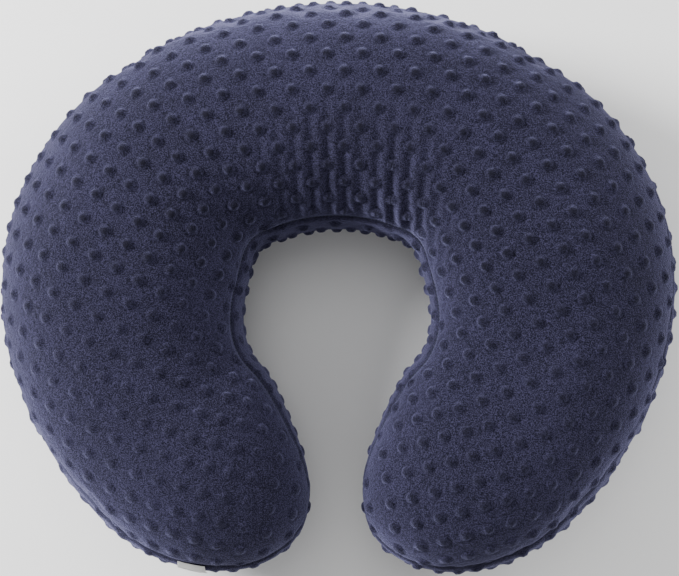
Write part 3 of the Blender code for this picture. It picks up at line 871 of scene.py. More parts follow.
def coil_finish():
    """Smooth nylon of the zip's coils."""
    colour = colour_of("coil")
    finish = Finish("zip_nylon", specular_ior_level=0.5)
    wear = finish.grain(300.0, 3.0)
    base = finish.blend(wear, shade(colour, 0.7), shade(colour, 1.6))
    return finish.finish(base, 0.34 + wear * 0.2, wear, 0.00005)


def metal_finish():
    """Die-cast metal, dulled and scuffed by use."""
    colour = colour_of("metal")
    finish = Finish("zip_metal", metallic=1.0)
    cloud = finish.grain(420.0, 4.0, 0.6)
    scuff = finish.ramp(finish.grain(1500.0, 3.0, 0.7), (0.50, 0.0), (0.62, 1.0))
    base = finish.blend(cloud, shade(colour, 0.62), shade(colour, 1.15))
    roughness = 0.26 + cloud * 0.2 + scuff * 0.12
    return finish.finish(base, roughness, cloud + scuff * 0.4, 0.00006)


def fibre_finish():
    """Tangled hollow fibre."""
    colour = colour_of("filling")
    finish = Finish("hollow_fibre", sheen_weight=0.35, specular_ior_level=0.2)
    strands = finish.grain(520.0, 4.0, 0.75, finish.stretched((1.0, 0.25, 1.0)))
    crossed = finish.grain(640.0, 3.0, 0.7, finish.stretched((0.25, 1.0, 1.0)))
    clumps = finish.grain(45.0, 3.0)
    tone = (strands * 0.5 + crossed * 0.4 + clumps * 0.5 - 0.2).clipped()
    base = finish.blend(tone, shade(colour, 0.7), shade(colour, 1.1))
    return finish.finish(base, 0.9 + strands * 0.1, strands + crossed, 0.0009)


def floor_finish():
    """Plain pale paper."""
    finish = Finish("pale_floor", specular_ior_level=0.1)
    tone = finish.grain(40.0, 2.0)
    base = finish.blend(tone, (0.90, 0.90, 0.90, 1.0), (0.92, 0.92, 0.92, 1.0))
    return finish.finish(base, 0.9 + tone * 0.05, tone, 0.0)


def finish_named(name):
    """A material, made the first time it is asked for."""
    makers = {
        "plush": plush_finish,
        "thread": lambda: thread_finish("cover_thread", colour_of("thread")),
        "zip_tape": lambda: cloth_finish("zip_tape", colour_of("tape"), 900.0, 0.7),
        "zip_coil": coil_finish,
        "zip_metal": metal_finish,
        "casing": lambda: cloth_finish("casing_cotton", colour_of("casing"), 1100.0),
        "casing_thread": lambda: thread_finish("casing_thread", shade(colour_of("casing"), 0.9)),
        "fill": fibre_finish,
        "label": lambda: cloth_finish("label_satin", colour_of("label"), 1700.0, 0.0, 0.3, 0.25),
        "floor": floor_finish,
    }
    if name not in made:
        made[name] = makers[name]()
    return made[name]


class Pattern(Tree):
    """A Geometry Nodes tree with named inputs, applied to a mesh and turned into a plain one."""

    def __init__(self, name, **inputs):
        super().__init__(bpy.data.node_groups.new(name, "GeometryNodeTree"))
        interface = self.tree.interface
        interface.new_socket("Geometry", in_out="INPUT", socket_type="NodeSocketGeometry")
        interface.new_socket("Geometry", in_out="OUTPUT", socket_type="NodeSocketGeometry")
        for socket, value in inputs.items():
            plain_kind = "NodeSocketInt" if isinstance(value, int) else "NodeSocketFloat"
            kind = "NodeSocketMaterial" if socket == "Finish" else plain_kind
            interface.new_socket(socket.replace("_", " "), in_out="INPUT", socket_type=kind)
        self.source = self.tree.nodes.new("NodeGroupInput")
        self.inputs = inputs

    def input(self, name):
        """One of the tree's inputs."""
        return Link(self, self.source.outputs[name])

    def attribute(self, name, kind="FLOAT"):
        """A number or a vector stored on the mesh."""
        return self.add("GeometryNodeInputNamedAttribute", {"data_type": kind}, {"Name": name})

    def end(self, geometry):
        """Realize instances, set the material and close the tree."""
        whole = self.add("GeometryNodeRealizeInstances", {}, {0: geometry})
        smooth = self.add("GeometryNodeSetShadeSmooth", {}, {0: whole})
        set_finish = {"Geometry": smooth, "Material": self.input("Finish")}
        finished = self.add("GeometryNodeSetMaterial", {}, set_finish)
        output = self.tree.nodes.new("NodeGroupOutput")
        self.tree.links.new(finished.socket, output.inputs[0])

    def apply(self, piece):
        """Run the tree on a piece and keep the result as its mesh."""
        modifier = piece.modifiers.new(self.tree.name, "NODES")
        modifier.node_group = self.tree
        for item in self.tree.interface.items_tree:
            value = self.inputs.get(item.name.replace(" ", "_"))
            if item.in_out == "INPUT" and value is not None:
                modifier[item.identifier] = value
        evaluated = piece.evaluated_get(bpy.context.evaluated_depsgraph_get())
        mesh = bpy.data.meshes.new_from_object(evaluated)
        piece.modifiers.remove(modifier)
        piece.data = mesh
        return piece


def raise_dots(piece, sizes, shift):
    """Emboss the cloth's lattice of dots on a panel."""
    pattern = Pattern(
        "raised_dots",
        Column_Pitch=sizes.column_pitch,
        Row_Pitch=sizes.row_pitch,
        Dot_Width=sizes.dot_width,
        Dot_Height=sizes.dot_height,
        Crease_Depth=sizes.dot_crease,
        Columns=LATTICE_COLUMNS,
        Rows=LATTICE_ROWS,
        Shift_X=shift[0],
        Shift_Y=shift[1],
        Finish=finish_named("plush"),
    )
    whole = pattern.input("Geometry")
    columns, rows = pattern.input("Columns"), pattern.input("Rows")
    pitch, row_pitch = pattern.input("Column Pitch"), pattern.input("Row Pitch")
    sockets = {"Size X": pitch * (columns - 1), "Size Y": row_pitch * (rows - 1)}
    sockets.update({"Vertices X": columns, "Vertices Y": rows})
    lattice = pattern.add("GeometryNodeMeshGrid", {}, sockets)
    number = pattern.add("GeometryNodeInputIndex")
    row = pattern.add("FunctionNodeIntegerMath", {"operation": "MODULO"}, {0: number, 1: rows})
    odd = pattern.add("FunctionNodeIntegerMath", {"operation": "MODULO"}, {0: row, 1: 2})
    across = pattern.input("Shift X") + odd * pitch * 0.5
    shifts = pattern.add("ShaderNodeCombineXYZ", {}, {0: across, 1: pattern.input("Shift Y")})
    place = pattern.vector("ADD", pattern.add("GeometryNodeInputPosition"), shifts)
    place = pattern.vector("ADD", place, (*CUT_CENTRE, 0.0))
    place = pattern.vector("SCALE", place, scale=1.0 / CUT_SPAN)
    place = pattern.vector("ADD", place, (0.5, 0.5, 0.0))
    cut = pattern.attribute("flat_cut", "FLOAT_VECTOR")
    found_sockets = {
        "Mesh": whole,
        "Value": pattern.add("GeometryNodeInputPosition"),
        "Source UV Map": cut,
        "Sample UV": place,
    }
    settings = {"data_type": "FLOAT_VECTOR"}
    sample = pattern.add("GeometryNodeSampleUVSurface", settings, found_sockets)
    valid = Link(pattern, sample.socket.node.outputs["Is Valid"])
    off_cloth = pattern.add("FunctionNodeBooleanMath", {"operation": "NOT"}, {0: valid})
    sockets = {"Geometry": lattice, "Name": "off_cloth", "Value": off_cloth}
    settings = {"data_type": "BOOLEAN", "domain": "POINT"}
    marked = pattern.add("GeometryNodeStoreNamedAttribute", settings, sockets)
    on_cover = pattern.add("GeometryNodeSetPosition", {}, {0: marked, "Position": sample})
    sockets = {0: on_cover, "Selection": pattern.attribute("off_cloth", "BOOLEAN")}
    dots = pattern.add("GeometryNodeDeleteGeometry", {"domain": "POINT"}, sockets)
    settings = {"target_element": "POINTS"}
    near = pattern.add("GeometryNodeProximity", settings, {"Target": dots}, "Distance")
    share = near / (pattern.input("Dot Width") * 0.5)
    dome = 1.0 - share.math("MINIMUM", share, 1.0) ** DOT_DOME_POWER
    ring = (1.0 - share.math("ABSOLUTE", share - DOT_RING_PLACE) / DOT_RING_WIDTH).clipped()
    free = pattern.attribute("free_pile")
    lift = (dome * pattern.input("Dot Height") - ring * pattern.input("Crease Depth")) * free
    normal = pattern.add("GeometryNodeInputNormal")
    offset = pattern.vector("SCALE", normal, scale=lift)
    # the dot and ring profiles are stored for the painted shade on the dot tops and round them
    for name, value in (("dot", dome * free), ("crease", ring * free)):
        sockets = {"Geometry": whole, "Name": name, "Value": value}
        whole = pattern.add("GeometryNodeStoreNamedAttribute", {"data_type": "FLOAT"}, sockets)
    raised = pattern.add("GeometryNodeSetPosition", {}, {0: whole, "Offset": offset})
    pattern.end(raised)
    return pattern.apply(piece)


def space_along(piece, finish, pitch, size, turn=0.0, lift=0.0, roundness=1):
    """Set equal rounded pieces along a line: stitches, or the turns of a zip's coil."""
    pattern = Pattern(
        "spaced_along_line",
        Pitch=pitch,
        Length=size[0],
        Width=size[1],
        Height=size[2],
        Turn=turn,
        Lift=lift,
        Levels=roundness,
        Seed=7,
        Finish=finish,
    )
    line = pattern.add("GeometryNodeMeshToCurve", {}, {0: pattern.input("Geometry")})
    spaced = pattern.add(
        "GeometryNodeResampleCurve", {"mode": "LENGTH"}, {0: line, "Length": pattern.input("Pitch")}
    )
    sides = {0: pattern.input("Length"), 1: pattern.input("Width"), 2: pattern.input("Height")}
    size_of = pattern.add("ShaderNodeCombineXYZ", {}, sides)
    block = pattern.add("GeometryNodeMeshCube", {}, {"Size": size_of})
    levels = {0: block, "Level": pattern.input("Levels")}
    rounded = pattern.add("GeometryNodeSubdivisionSurface", {}, levels)
    tangent = pattern.add("GeometryNodeInputTangent")
    outward = pattern.attribute("outward", "FLOAT_VECTOR")
    ahead = pattern.add("FunctionNodeAlignRotationToVector", {"axis": "X"}, {"Vector": tangent})
    sockets = {"Rotation": ahead, "Vector": outward}
    settings = {"axis": "Z", "pivot_axis": "X"}
    upright = pattern.add("FunctionNodeAlignRotationToVector", settings, sockets)
    sockets = {"Min_001": -0.06, "Max_001": 0.06, "Seed": pattern.input("Seed")}
    uneven = pattern.add("FunctionNodeRandomValue", {"data_type": "FLOAT"}, sockets, "Value_001")
    sockets = {2: pattern.input("Turn") + uneven}
    turned = pattern.add("ShaderNodeCombineXYZ", {}, sockets)
    turned = pattern.add("FunctionNodeEulerToRotation", {}, {0: turned})
    sockets = {"Rotation": upright, "Rotate By": turned}
    rotation = pattern.add("FunctionNodeRotateRotation", {"rotation_space": "LOCAL"}, sockets)
    offset = pattern.vector("SCALE", outward, scale=pattern.input("Lift"))
    placed = pattern.add("GeometryNodeSetPosition", {}, {0: spaced, "Offset": offset})
    sockets = {"Points": placed, "Instance": rounded, "Rotation": rotation}
    pattern.end(pattern.add("GeometryNodeInstanceOnPoints", {}, sockets))
    return pattern.apply(piece)


def line_piece(name, lines, outwards):
    """Object of open lines of points, each with its outward directions."""
    points = np.concatenate(lines)
    edges = []
    first = 0
    for line in lines:
        edges += [(first + step, first + step + 1) for step in range(len(line) - 1)]
        first += len(line)
    mesh = bpy.data.meshes.new(name)
    mesh.from_pydata(points.tolist(), edges, [])
    layer = mesh.attributes.new("outward", "FLOAT_VECTOR", "POINT")
    layer.data.foreach_set("vector", np.concatenate(outwards).astype(np.float32).ravel())
    piece = bpy.data.objects.new(name, mesh)
    bpy.context.collection.objects.link(piece)
    return piece


def deliver(piece, body, slot, *nodes):
    """Fix a finished piece to its body and hide the nodes that it stands for; the slot is not used."""
    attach(piece, body)
    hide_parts(*nodes)
    return piece


# ---------------------------------------------------------------- cover


def wavy(place, seed, pitch):
    """Smooth random waves between -1 and 1 along a line, from a seed of their own."""
    knots = np.random.default_rng(seed).uniform(-1.0, 1.0, WAVE_KNOTS)
    spot = place / pitch + WAVE_KNOTS / 2
    low = np.clip(np.floor(spot).astype(int), 0, WAVE_KNOTS - 2)
    part = ease(spot - low)
    return knots[low] * (1.0 - part) + knots[low + 1] * part


def centred_run(line):
    """Distance along a line of points, from its mean."""
    travelled = np.cumsum(np.linalg.norm(np.diff(line, axis=0, prepend=line[:1]), axis=1))
    return travelled - travelled.mean()


def cover_relief(sizes, side, run, angles, points, cut, shift):
    """Height of gathers, puckers and seam grooves over the stuffed surface.

    Also gives how folded the pile is, which the pile's finish darkens as painted shade, and the
    distance to the nearest seam.
    """
    out, back = clear_distance(points)
    station = tube_place(run)[1][:, None]
    near_zip = Stuffing.zip_share(run[:, None], angles)
    pleat = (cut[..., 0] - shift[0]) / (sizes.column_pitch / 2.0)
    ridge = np.abs(np.sin(math.pi * pleat)) ** GATHER_POWER - GATHER_SINK
    reach = ease(back / GATHER_START) * (1.0 - ease((back - GATHER_FULL) / GATHER_FADE))
    from_middle = np.abs(cut[..., 0] - GATHER_MIDDLE)
    spread = 1.0 - ease((from_middle - GATHER_HALF_SPREAD) / GATHER_FADE)
    uneven = 0.75 + 0.45 * wavy(cut[..., 0], 3, 0.012) + 0.25 * wavy(cut[..., 1], 4, 0.03)
    gathers = sizes.gather_height * ridge * reach * spread * uneven * (side > 0)
    outer_line, inner_line = (centred_run(points[:, column]) for column in (0, -1))
    folds = wavy(inner_line, 11 + side, INNER_FOLD_PITCH)[:, None]
    folds = folds * (0.55 + 0.45 * wavy(inner_line, 21, 0.05)[:, None])
    shoulder = ease((station - 0.05) / 0.05) * (1.0 - ease((station - 0.20) / 0.09))
    fold_reach = np.exp(-((back / (0.014 + 0.016 * shoulder)) ** 1.6)) * ease(back / 0.003)
    puckers = folds * fold_reach * (0.7 + 1.3 * shoulder)
    edge_folds = wavy(outer_line, 31 + side, OUTER_FOLD_PITCH)[:, None]
    puckers = puckers + 0.6 * edge_folds * np.exp(-((out / 0.013) ** 1.5)) * ease(out / 0.003)
    puckers = sizes.pucker_height * puckers * (1.0 - 0.8 * near_zip * (out < back))
    groove_width = np.where(near_zip * (out < back) > 0.5, ZIP_GROOVE, OUTER_GROOVE)
    groove = sizes.seam_depth * np.exp(-((out / groove_width) ** 2)) * (1.0 - 0.5 * near_zip)
    groove = groove + sizes.seam_depth * np.exp(-((back / INNER_GROOVE) ** 2))
    fold = np.clip(-gathers / max(sizes.gather_height, 1e-6) * 1.3, 0.0, 1.0)
    fold = np.maximum(fold, np.clip(groove / sizes.seam_depth, 0.0, 1.0))
    return gathers + puckers - groove, fold, np.minimum(out, back)


def worn_share(run, points, side):
    """Share of the dots' height: they are flatter on the arms and under the care label."""
    labels = bpy.context.scene.pillow_casing
    station = tube_place(run)[1]
    arm = ease((station - WORN_START) / WORN_LENGTH)
    share = np.where(run < 0.0, 1.0 - WORN_LEFT * arm, 1.0 - WORN_RIGHT * arm)[:, None]
    beside = np.abs(station - (MIDDLE_LENGTH - labels.label_from_tip)) - labels.label_width / 2.0
    under = (1.0 - ease((beside - 0.003) / 0.003)) * (run < 0.0)
    below = 1.0 - ease((clear_distance(points)[0] - labels.label_drop) / 0.006)
    return share * (1.0 - under[:, None] * below * (side < 0))


def make_cover_panel(sizes, side, name):
    """One plush panel: stuffed surface, gathers, puckers, grooves and dots, and its wall."""
    step = sizes.top_step if side > 0 else sizes.bottom_step
    rows = 2 * round(RUN_END / step) + 1
    columns = round(COVER_SPANS[side] / step) + 1
    shift = LATTICE_SHIFTS[side]
    run, angles, points = layer_grid(side, rows, columns, 0.0, ZIP_OPENING_HALF)
    cut = flat_cut(run, angles, points, side)
    lift, fold, edge = cover_relief(sizes, side, run, angles, points, cut, shift)
    floor_share = ease((points[..., 2] - 0.0006) / 0.004)
    normals = surface_normals(points) * side
    outer = points + normals * (lift * np.maximum(floor_share, fold))[..., None]
    outer[..., 2] = np.maximum(outer[..., 2], FLOOR_CLEARANCE)
    few = COVER_LINING_COLUMNS[side]
    _, _, inner = layer_grid(side, rows, few, COVER_WALL, ZIP_OPENING_HALF)
    for column in (0, -1):
        inner[:, column] = outer[:, column] - normals[:, column] * COVER_WALL * 0.5
    for grid in (outer, inner):
        grid[:, (0, -1), 2] += side * COVER_HALF_GAP
    mesh, outer_faces = wall_mesh(name, outer, inner, side)
    loops = np.zeros(len(mesh.loops), int)
    mesh.loops.foreach_get("vertex_index", loops)
    corner_counts = np.zeros(len(mesh.polygons), int)
    mesh.polygons.foreach_get("loop_total", corner_counts)
    flat = grid_points(cut)
    places = np.zeros((len(loops), 2))
    outside = corner_counts[:outer_faces].sum()
    places[:outside] = cut_map(flat[loops[:outside]])
    layer = mesh.uv_layers.new(name="flat_cut")
    layer.data.foreach_set("uv", places.astype(np.float32).ravel())
    extra = len(mesh.vertices) - len(flat)
    free = ease((edge - 0.0025) / 0.004) * floor_share * worn_share(run, points, side)
    # fold is also stored for the painted shade in the gathers' valleys and the seam grooves
    for label, values in (("free_pile", free), ("fold", fold)):
        stored = grid_points(values[..., None])[:, 0]
        point_values(mesh, label, np.concatenate([stored, np.zeros(extra)]))
    return raise_dots(show(name, mesh), sizes, shift)


class PILLOW_OT_cover(bpy.types.Operator):
    """Make the two dotted plush panels of the cover"""

    bl_idname = "pillow.cover"
    bl_label = "Plush cover"

    def execute(self, context):
        sizes = context.scene.pillow_cover
        for name, side in (("plush_top_panel", 1), ("plush_bottom_panel", -1)):
            panel = make_cover_panel(sizes, side, name)
            deliver(panel, "pillow", "plush", name.replace("plush", "cover"))
        return {"FINISHED"}


# ---------------------------------------------------------------- seams


def seam_line(inset, start, stop, inner, pocket=0.0):
    """Points and outward directions along a seam of the stuffed tube, between two runs."""
    rows = Stuffing.ROWS * 4 - 3
    run, _, points = layer_grid(1, rows, 27, inset, 0.0, pocket)
    normals = surface_normals(points)
    column = -1 if inner else 0
    keep = (run >= start) & (run <= stop)
    return points[keep, column], normals[keep, column]


class PILLOW_OT_seam_threads(bpy.types.Operator):
    """Make the stitches that close the cover's seams"""

    bl_idname = "pillow.seam_threads"
    bl_label = "Seam threads"

    def execute(self, context):
        ends = ((-RUN_END, -BACK_END, False), (BACK_END, RUN_END, False), (-RUN_END, RUN_END, True))
        found = [seam_line(COVER_WALL, *end) for end in ends]
        piece = line_piece("seam_stitches", *zip(*found))
        space_along(piece, finish_named("thread"), *COVER_STITCH)
        deliver(piece, "pillow", "thread", "cover_seam_thread")
        return {"FINISHED"}


# ---------------------------------------------------------------- zip


def zip_line(inset, height, first, last, count=240):
    """Points and outward directions along the zip, at an inset and a height from its middle."""
    angle = np.linspace(first, last, count)
    radius = ZIP_RADIUS - inset
    x, y = radius * np.sin(angle), ZIP_CENTRE_Y + radius * np.cos(angle)
    points = np.stack([x, y, np.full_like(angle, WIDEST_LEVEL + height)], -1)
    return points, np.stack([np.sin(angle), np.cos(angle), np.zeros_like(angle)], -1)


def edge_line(side, distance):
    """Points and outward directions beside a panel's folded edge along the zip."""
    run = np.linspace(-ZIP_STATION, ZIP_STATION, 240)
    angle = angle_at(side * (ZIP_OPENING_HALF + distance), np.abs(run))
    points = tube_point(run, angle, 0.0)
    beyond = tube_point(run, angle, -0.001)
    return points, (beyond - points) / np.linalg.norm(beyond - points, axis=-1, keepdims=True)


class PILLOW_OT_zip_chain(bpy.types.Operator):
    """Make the two nylon coils of the zip"""

    bl_idname = "pillow.zip_chain"
    bl_label = "Zip coils"

    def execute(self, context):
        sizes = context.scene.pillow_zip
        end_gap = (sizes.stop_length + sizes.stop_gap) / ZIP_RADIUS
        half_slider = sizes.slider_length / 2.0
        first = -ZIP_HALF_ANGLE + end_gap
        last = math.radians(ZIP_REST) + (half_slider - sizes.wedge_reach) / ZIP_RADIUS
        middle = (sizes.coil_half_width + sizes.coil_split) / 2.0
        inset = sizes.coil_face + sizes.coil_thickness / 2.0
        width = sizes.coil_half_width * COIL_WIDTH_SHARE
        shape = (sizes.coil_turn, width, sizes.coil_thickness * COIL_HEIGHT_SHARE)
        for name, side in (("upper", 1), ("lower", -1)):
            stagger = (1 + side) / 4.0 * sizes.coil_pitch / ZIP_RADIUS
            points, outwards = zip_line(inset, side * middle, first + stagger, last)
            coil = line_piece(f"nylon_coil_{name}", [points], [outwards])
            turn = side * COIL_LEAN
            space_along(coil, finish_named("zip_coil"), sizes.coil_pitch, shape, turn, 0.0, 2)
            deliver(coil, "pillow", "zip_coil", f"zipper_coil_{name}")
        return {"FINISHED"}


class PILLOW_OT_zip_stitches(bpy.types.Operator):
    """Make the stitches beside the cover's folded edges, and finish the tapes"""

    bl_idname = "pillow.zip_stitches"
    bl_label = "Zip stitches and tapes"

    def execute(self, context):
        sizes = context.scene.pillow_zip
        for name, side in (("upper", 1), ("lower", -1)):
            points, outwards = edge_line(side, sizes.stitch_from_edge)
            row = line_piece(f"zip_stitches_{name}", [points], [outwards])
            shape = (sizes.stitch_length, sizes.stitch_width, sizes.stitch_width)
            finish = finish_named("thread")
            space_along(row, finish, sizes.stitch_pitch, shape, 0.0, sizes.stitch_lift, 2)
            deliver(row, "pillow", "thread", f"zipper_stitching_{name}")
            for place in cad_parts[f"zipper_tape_{name}"].material_slots:
                place.material = finish_named("zip_tape")
        return {"FINISHED"}


def refined_copy(node, name, bevel):
    """A CAD node's own shape with its facets merged and its edges rounded."""
    mesh_maker = bmesh.new()
    mesh_maker.from_mesh(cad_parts[node].data)
    bmesh.ops.remove_doubles(mesh_maker, verts=mesh_maker.verts, dist=1e-6)
    bmesh.ops.dissolve_limit(
        mesh_maker, angle_limit=math.radians(1.0), verts=mesh_maker.verts, edges=mesh_maker.edges
    )
    mesh = bpy.data.meshes.new(name)
    mesh_maker.to_mesh(mesh)
    mesh_maker.free()
    piece = show(name, mesh)
    rounding = piece.modifiers.new("edges", "BEVEL")
    rounding.width = bevel
    rounding.segments = 3
    rounding.limit_method = "ANGLE"
    rounding.angle_limit = math.radians(25.0)
    rounding.use_clamp_overlap = True
    return plain(piece)


def plain(piece):
    """Keep what a piece's modifiers make as its mesh."""
    evaluated = piece.evaluated_get(bpy.context.evaluated_depsgraph_get())
    mesh = bpy.data.meshes.new_from_object(evaluated)
    piece.modifiers.clear()
    piece.data = mesh
    mesh.shade_smooth()
    mesh.set_sharp_from_angle(angle=math.radians(40.0))
    return piece


class PILLOW_OT_zip_metal(bpy.types.Operator):
    """Make the slider, its pull tab and the zip's stops"""

    bl_idname = "pillow.zip_metal"
    bl_label = "Slider, pull and stops"

    def execute(self, context):
        bevel = context.scene.pillow_zip.metal_bevel
        rows = (
            ("zipper_slider", "zip_slider", "slider"),
            ("zipper_pull_tab", "zip_pull", "pull"),
            ("zipper_bottom_stop", "zip_stop_bottom", "pillow"),
            ("zipper_top_stop_upper", "zip_stop_top_upper", "pillow"),
            ("zipper_top_stop_lower", "zip_stop_top_lower", "pillow"),
        )
        for node, name, body in rows:
            piece = refined_copy(node, name, bevel)
            piece.data.materials.clear()
            piece.data.materials.append(finish_named("zip_metal"))
            deliver(piece, body, "zip_metal", node)
        return {"FINISHED"}


# ---------------------------------------------------------------- labels


def solid_sheet(name, points, thickness, finish):
    """Thin closed sheet on a grid of points, thickened to one side."""
    rows, columns = points.shape[:2]
    numbers = np.arange(rows * columns).reshape(rows, columns)
    piece = show(name, make_mesh(name, points.reshape(-1, 3), grid_faces(numbers, True)))
    thick = piece.modifiers.new("thickness", "SOLIDIFY")
    thick.thickness = thickness
    thick.offset = 1.0
    plain(piece)
    piece.data.materials.append(finish_named(finish))
    return piece


def care_label_grid(sizes):
    """Grid of the folded care label: down its front, round the fold and up its back."""
    steps = np.linspace(0.0, 1.0, CARE_LABEL_ROWS)
    width = np.linspace(-0.5, 0.5, CARE_LABEL_COLUMNS)
    station = (MIDDLE_LENGTH - sizes.label_from_tip + width * sizes.label_width)[None, :]
    share = np.clip((station - TIP_START) / TIP_LENGTH, 0.0, 1.0)
    run = -(TIP_START + np.arcsin(share ** (1.0 / TIP_POWER)) / (math.pi / 2.0) * TIP_CURVE)
    fullness = tube_place(run)[3]
    rows = []
    for layer, parts in ((0.0, steps), (1.0, steps[::-1])):
        for part in parts:
            drop = part * sizes.label_drop
            rise = OUTER_SEAM_RISE - drop / fullness
            fold = layer * sizes.label_fold * ease(1.0 - part + 0.35)
            clear = ease(part / 0.3) * (sizes.label_clear - fold)
            curl = sizes.label_curl * part * np.sin(width * 5.0 + 0.6)[None, :]
            root = sizes.label_root + layer * sizes.label_thickness * 1.5
            inset = -(clear + curl) + root * (1.0 - ease(part / 0.2))
            rows.append(tube_point(run, angle_at(rise, station), inset)[0])
    return np.stack(rows)


class PILLOW_OT_labels(bpy.types.Operator):
    """Make the folded care label of the cover and the flat label of the casing"""

    bl_idname = "pillow.labels"
    bl_label = "Labels"

    def execute(self, context):
        sizes = context.scene.pillow_casing
        grid = care_label_grid(sizes)
        label = solid_sheet("care_label", grid, sizes.label_thickness, "label")
        deliver(label, "pillow", "label", "cover_care_label")
        inset = CASING_INSET - CONTENTS_LABEL_LIFT
        run, _, points = layer_grid(-1, *CONTENTS_LABEL_GRID, inset, 0.0)
        rows = (run > sizes.casing_label_start) & (run < sizes.casing_label_stop)
        flat = points[rows, CONTENTS_LABEL_COLUMNS]
        thickness = CONTENTS_LABEL_THICKNESS
        patch = solid_sheet("casing_contents_label", flat[:, ::-1], thickness, "label")
        deliver(patch, "pillow", "label", "casing_label")
        return {"FINISHED"}


# ---------------------------------------------------------------- casing and filling


class PILLOW_OT_casing(bpy.types.Operator):
    """Make the cotton casing that holds the filling, and its seams"""

    bl_idname = "pillow.casing"
    bl_label = "Cotton casing"

    def execute(self, context):
        sizes = context.scene.pillow_casing
        for name, side in (("cotton_top_panel", 1), ("cotton_bottom_panel", -1)):
            rows = 2 * round(RUN_END / sizes.casing_step) + 1
            columns = round(CASING_SPANS[side] / sizes.casing_step) + 1
            run, _, outer = layer_grid(side, rows, columns, CASING_INSET, 0.0, ZIP_POCKET)
            inside = CASING_INSET + CASING_WALL
            _, _, inner = layer_grid(side, rows, columns, inside, 0.0, ZIP_POCKET)
            out, back = clear_distance(outer)
            edge = np.minimum(out, back)
            near = np.exp(-((edge / CASING_FOLD_REACH) ** 2))
            folds = wavy(run, 41 + side, 0.010)[:, None] * near
            depth = ease(edge / 0.006) * np.exp(-((edge / CASING_SINK_REACH) ** 2))
            sink = sizes.casing_pucker * (1.0 + folds) * depth
            normals = surface_normals(outer) * side
            for grid, lowest in ((outer, CASING_INSET), (inner, inside)):
                grid -= normals * (sink * 0.5)[..., None]
                grid[:, (0, -1), 2] += side * CASING_HALF_GAP
                grid[..., 2] = np.maximum(grid[..., 2], lowest)
            mesh, _ = wall_mesh(name, outer, inner, side)
            panel = show(name, mesh)
            panel.data.materials.append(finish_named("casing"))
            deliver(panel, "pillow", "casing", name.replace("cotton", "casing"))
        by_hand = sizes.hand_sewn
        outer_seam = (-RUN_END, RUN_END, False)
        sewn = (outer_seam, (-RUN_END, -by_hand, True), (by_hand, RUN_END, True))
        closed = ((-by_hand, by_hand, True),)
        rows = (
            ("casing_seam_stitches", "casing_seam_thread", sewn, MACHINE_STITCH, 0.0),
            ("hand_sewn_stitches", "casing_closing_stitches", closed, HAND_STITCH, 0.9),
        )
        for name, node, ends, (pitch, shape), turn in rows:
            found = [seam_line(CASING_INSET + 0.0001, *end, ZIP_POCKET) for end in ends]
            row = line_piece(name, *zip(*found))
            space_along(row, finish_named("casing_thread"), pitch, shape, turn)
            deliver(row, "pillow", "casing_thread", node)
        return {"FINISHED"}


class PILLOW_OT_filling(bpy.types.Operator):
    """Make the fibre filling"""

    bl_idname = "pillow.filling"
    bl_label = "Fibre filling"

    def execute(self, context):
        sizes = context.scene.pillow_casing
        rows = 2 * round(RUN_END / sizes.filling_step) + 1
        grids = []
        for side, width in FILLING_SPANS.items():
            columns = round(width / sizes.filling_step) + 1
            _, _, points = layer_grid(side, rows, columns, FILL_INSET, 0.0, ZIP_POCKET)
            normals = surface_normals(points) * side
            tufts = [[abs(noise.noise(Vector(point) * TUFTS)) for point in row] for row in points]
            sink = 0.0002 + sizes.filling_tuft * np.array(tufts)
            grids.append(points - normals * sink[..., None])
        top, bottom = grids
        ring = np.concatenate([top, bottom[:, -2:0:-1], top[:, :1]], 1)
        numbers = grid_indices(rows, ring.shape[1] - 1, 0)
        closed = np.concatenate([numbers, numbers[:, :1]], 1)
        mesh = make_mesh("fibre_filling", grid_points(ring[:, :-1]), grid_faces(closed, True))
        filling = show("fibre_filling", mesh)
        filling.data.materials.append(finish_named("fill"))
        deliver(filling, "pillow", "fill", "fibre_fill")
        return {"FINISHED"}


# ---------------------------------------------------------------- stage


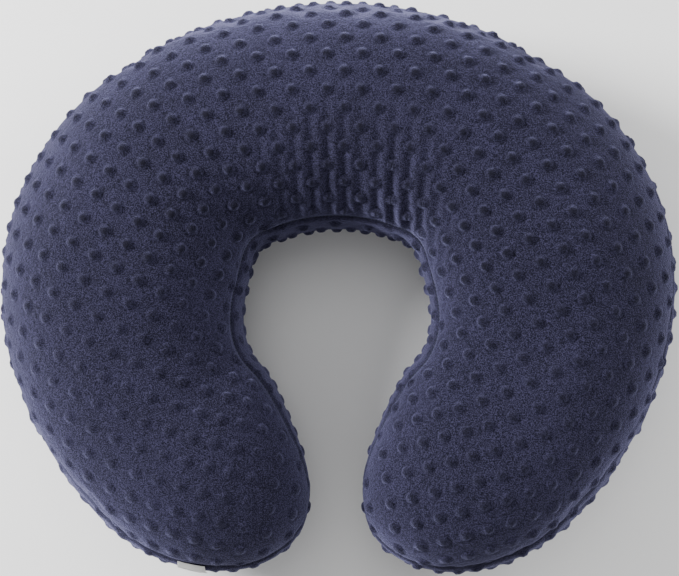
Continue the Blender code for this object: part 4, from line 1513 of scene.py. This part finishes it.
class PILLOW_OT_stage(bpy.types.Operator):
    """Make the floor, the lights and the camera"""

    bl_idname = "pillow.stage"
    bl_label = "Stage"

    def execute(self, context):
        stage = context.scene.pillow_stage
        square = ((-1, -1), (1, -1), (1, 1), (-1, 1))
        corners = [(x * FLOOR_REACH, y * FLOOR_REACH, 0.0) for x, y in square]
        floor = show("floor", make_mesh("floor", np.array(corners), [(0, 1, 2, 3)]))
        floor.data.materials.append(finish_named("floor"))
        aim = Vector((*AIM, WIDEST_LEVEL))
        for name, place, size in LIGHTS:
            power = getattr(stage, name.replace("light", "power"))
            light = bpy.data.lights.new(name, "AREA")
            light.shape = "DISK"
            light.size = size
            light.energy = power
            holder = bpy.data.objects.new(name, light)
            holder.location = place
            holder.rotation_euler = (Vector(place) - aim).to_track_quat("Z", "Y").to_euler()
            context.collection.objects.link(holder)
        sky = bpy.data.worlds.new("soft_sky")
        sky.use_nodes = True
        background = sky.node_tree.nodes["Background"]
        background.inputs["Color"].default_value = (1.0, 1.0, 1.0, 1.0)
        background.inputs["Strength"].default_value = stage.sky
        context.scene.world = sky
        lens = bpy.data.cameras.new("camera")
        lens.lens = lens.sensor_width * stage.distance / stage.view_width
        camera = bpy.data.objects.new("camera", lens)
        backwards = Vector((math.tan(stage.lean), -math.tan(stage.tilt), 1.0)).normalized()
        right = Vector((0.0, 1.0, 0.0)).cross(backwards).normalized()
        upwards = backwards.cross(right)
        camera.location = aim + backwards * stage.distance
        camera.rotation_euler = Matrix((right, upwards, backwards)).transposed().to_euler()
        context.collection.objects.link(camera)
        context.scene.camera = camera
        return {"FINISHED"}


# ---------------------------------------------------------------- panel and registration

GROUPS = (
    ("pillow_cover", PillowCoverSizes),
    ("pillow_cloth", PillowClothSizes),
    ("pillow_zip", PillowZipSizes),
    ("pillow_casing", PillowCasingSizes),
    ("pillow_colours", PillowColours),
    ("pillow_stage", PillowStage),
)
OPERATORS = (
    PILLOW_OT_stage,
    PILLOW_OT_cover,
    PILLOW_OT_seam_threads,
    PILLOW_OT_zip_chain,
    PILLOW_OT_zip_stitches,
    PILLOW_OT_zip_metal,
    PILLOW_OT_labels,
    PILLOW_OT_casing,
    PILLOW_OT_filling,
)


class PILLOW_PT_sidebar(bpy.types.Panel):
    """Lists the pillow's sizes, colours and operators"""

    bl_idname = "PILLOW_PT_sidebar"
    bl_label = "Nursing pillow"
    bl_space_type = "VIEW_3D"
    bl_region_type = "UI"
    bl_category = "Pillow"

    def draw(self, context):
        for name, group in GROUPS:
            box = self.layout.box()
            for label in group.__annotations__:
                box.prop(getattr(context.scene, name), label)
        for operator in OPERATORS:
            self.layout.operator(operator.bl_idname)


def register():
    for name, group in GROUPS:
        bpy.utils.register_class(group)
        setattr(bpy.types.Scene, name, PointerProperty(type=group))
    for item in (*OPERATORS, PILLOW_PT_sidebar):
        bpy.utils.register_class(item)


def unregister():
    for item in (PILLOW_PT_sidebar, *reversed(OPERATORS)):
        bpy.utils.unregister_class(item)
    for name, group in reversed(GROUPS):
        delattr(bpy.types.Scene, name)
        bpy.utils.unregister_class(group)


def main():
    """Register the add-on, then make every piece."""
    register()
    for operator in OPERATORS:
        section, name = operator.bl_idname.split(".")
        getattr(getattr(bpy.ops, section), name)()


if __name__ == "__main__":
    main()
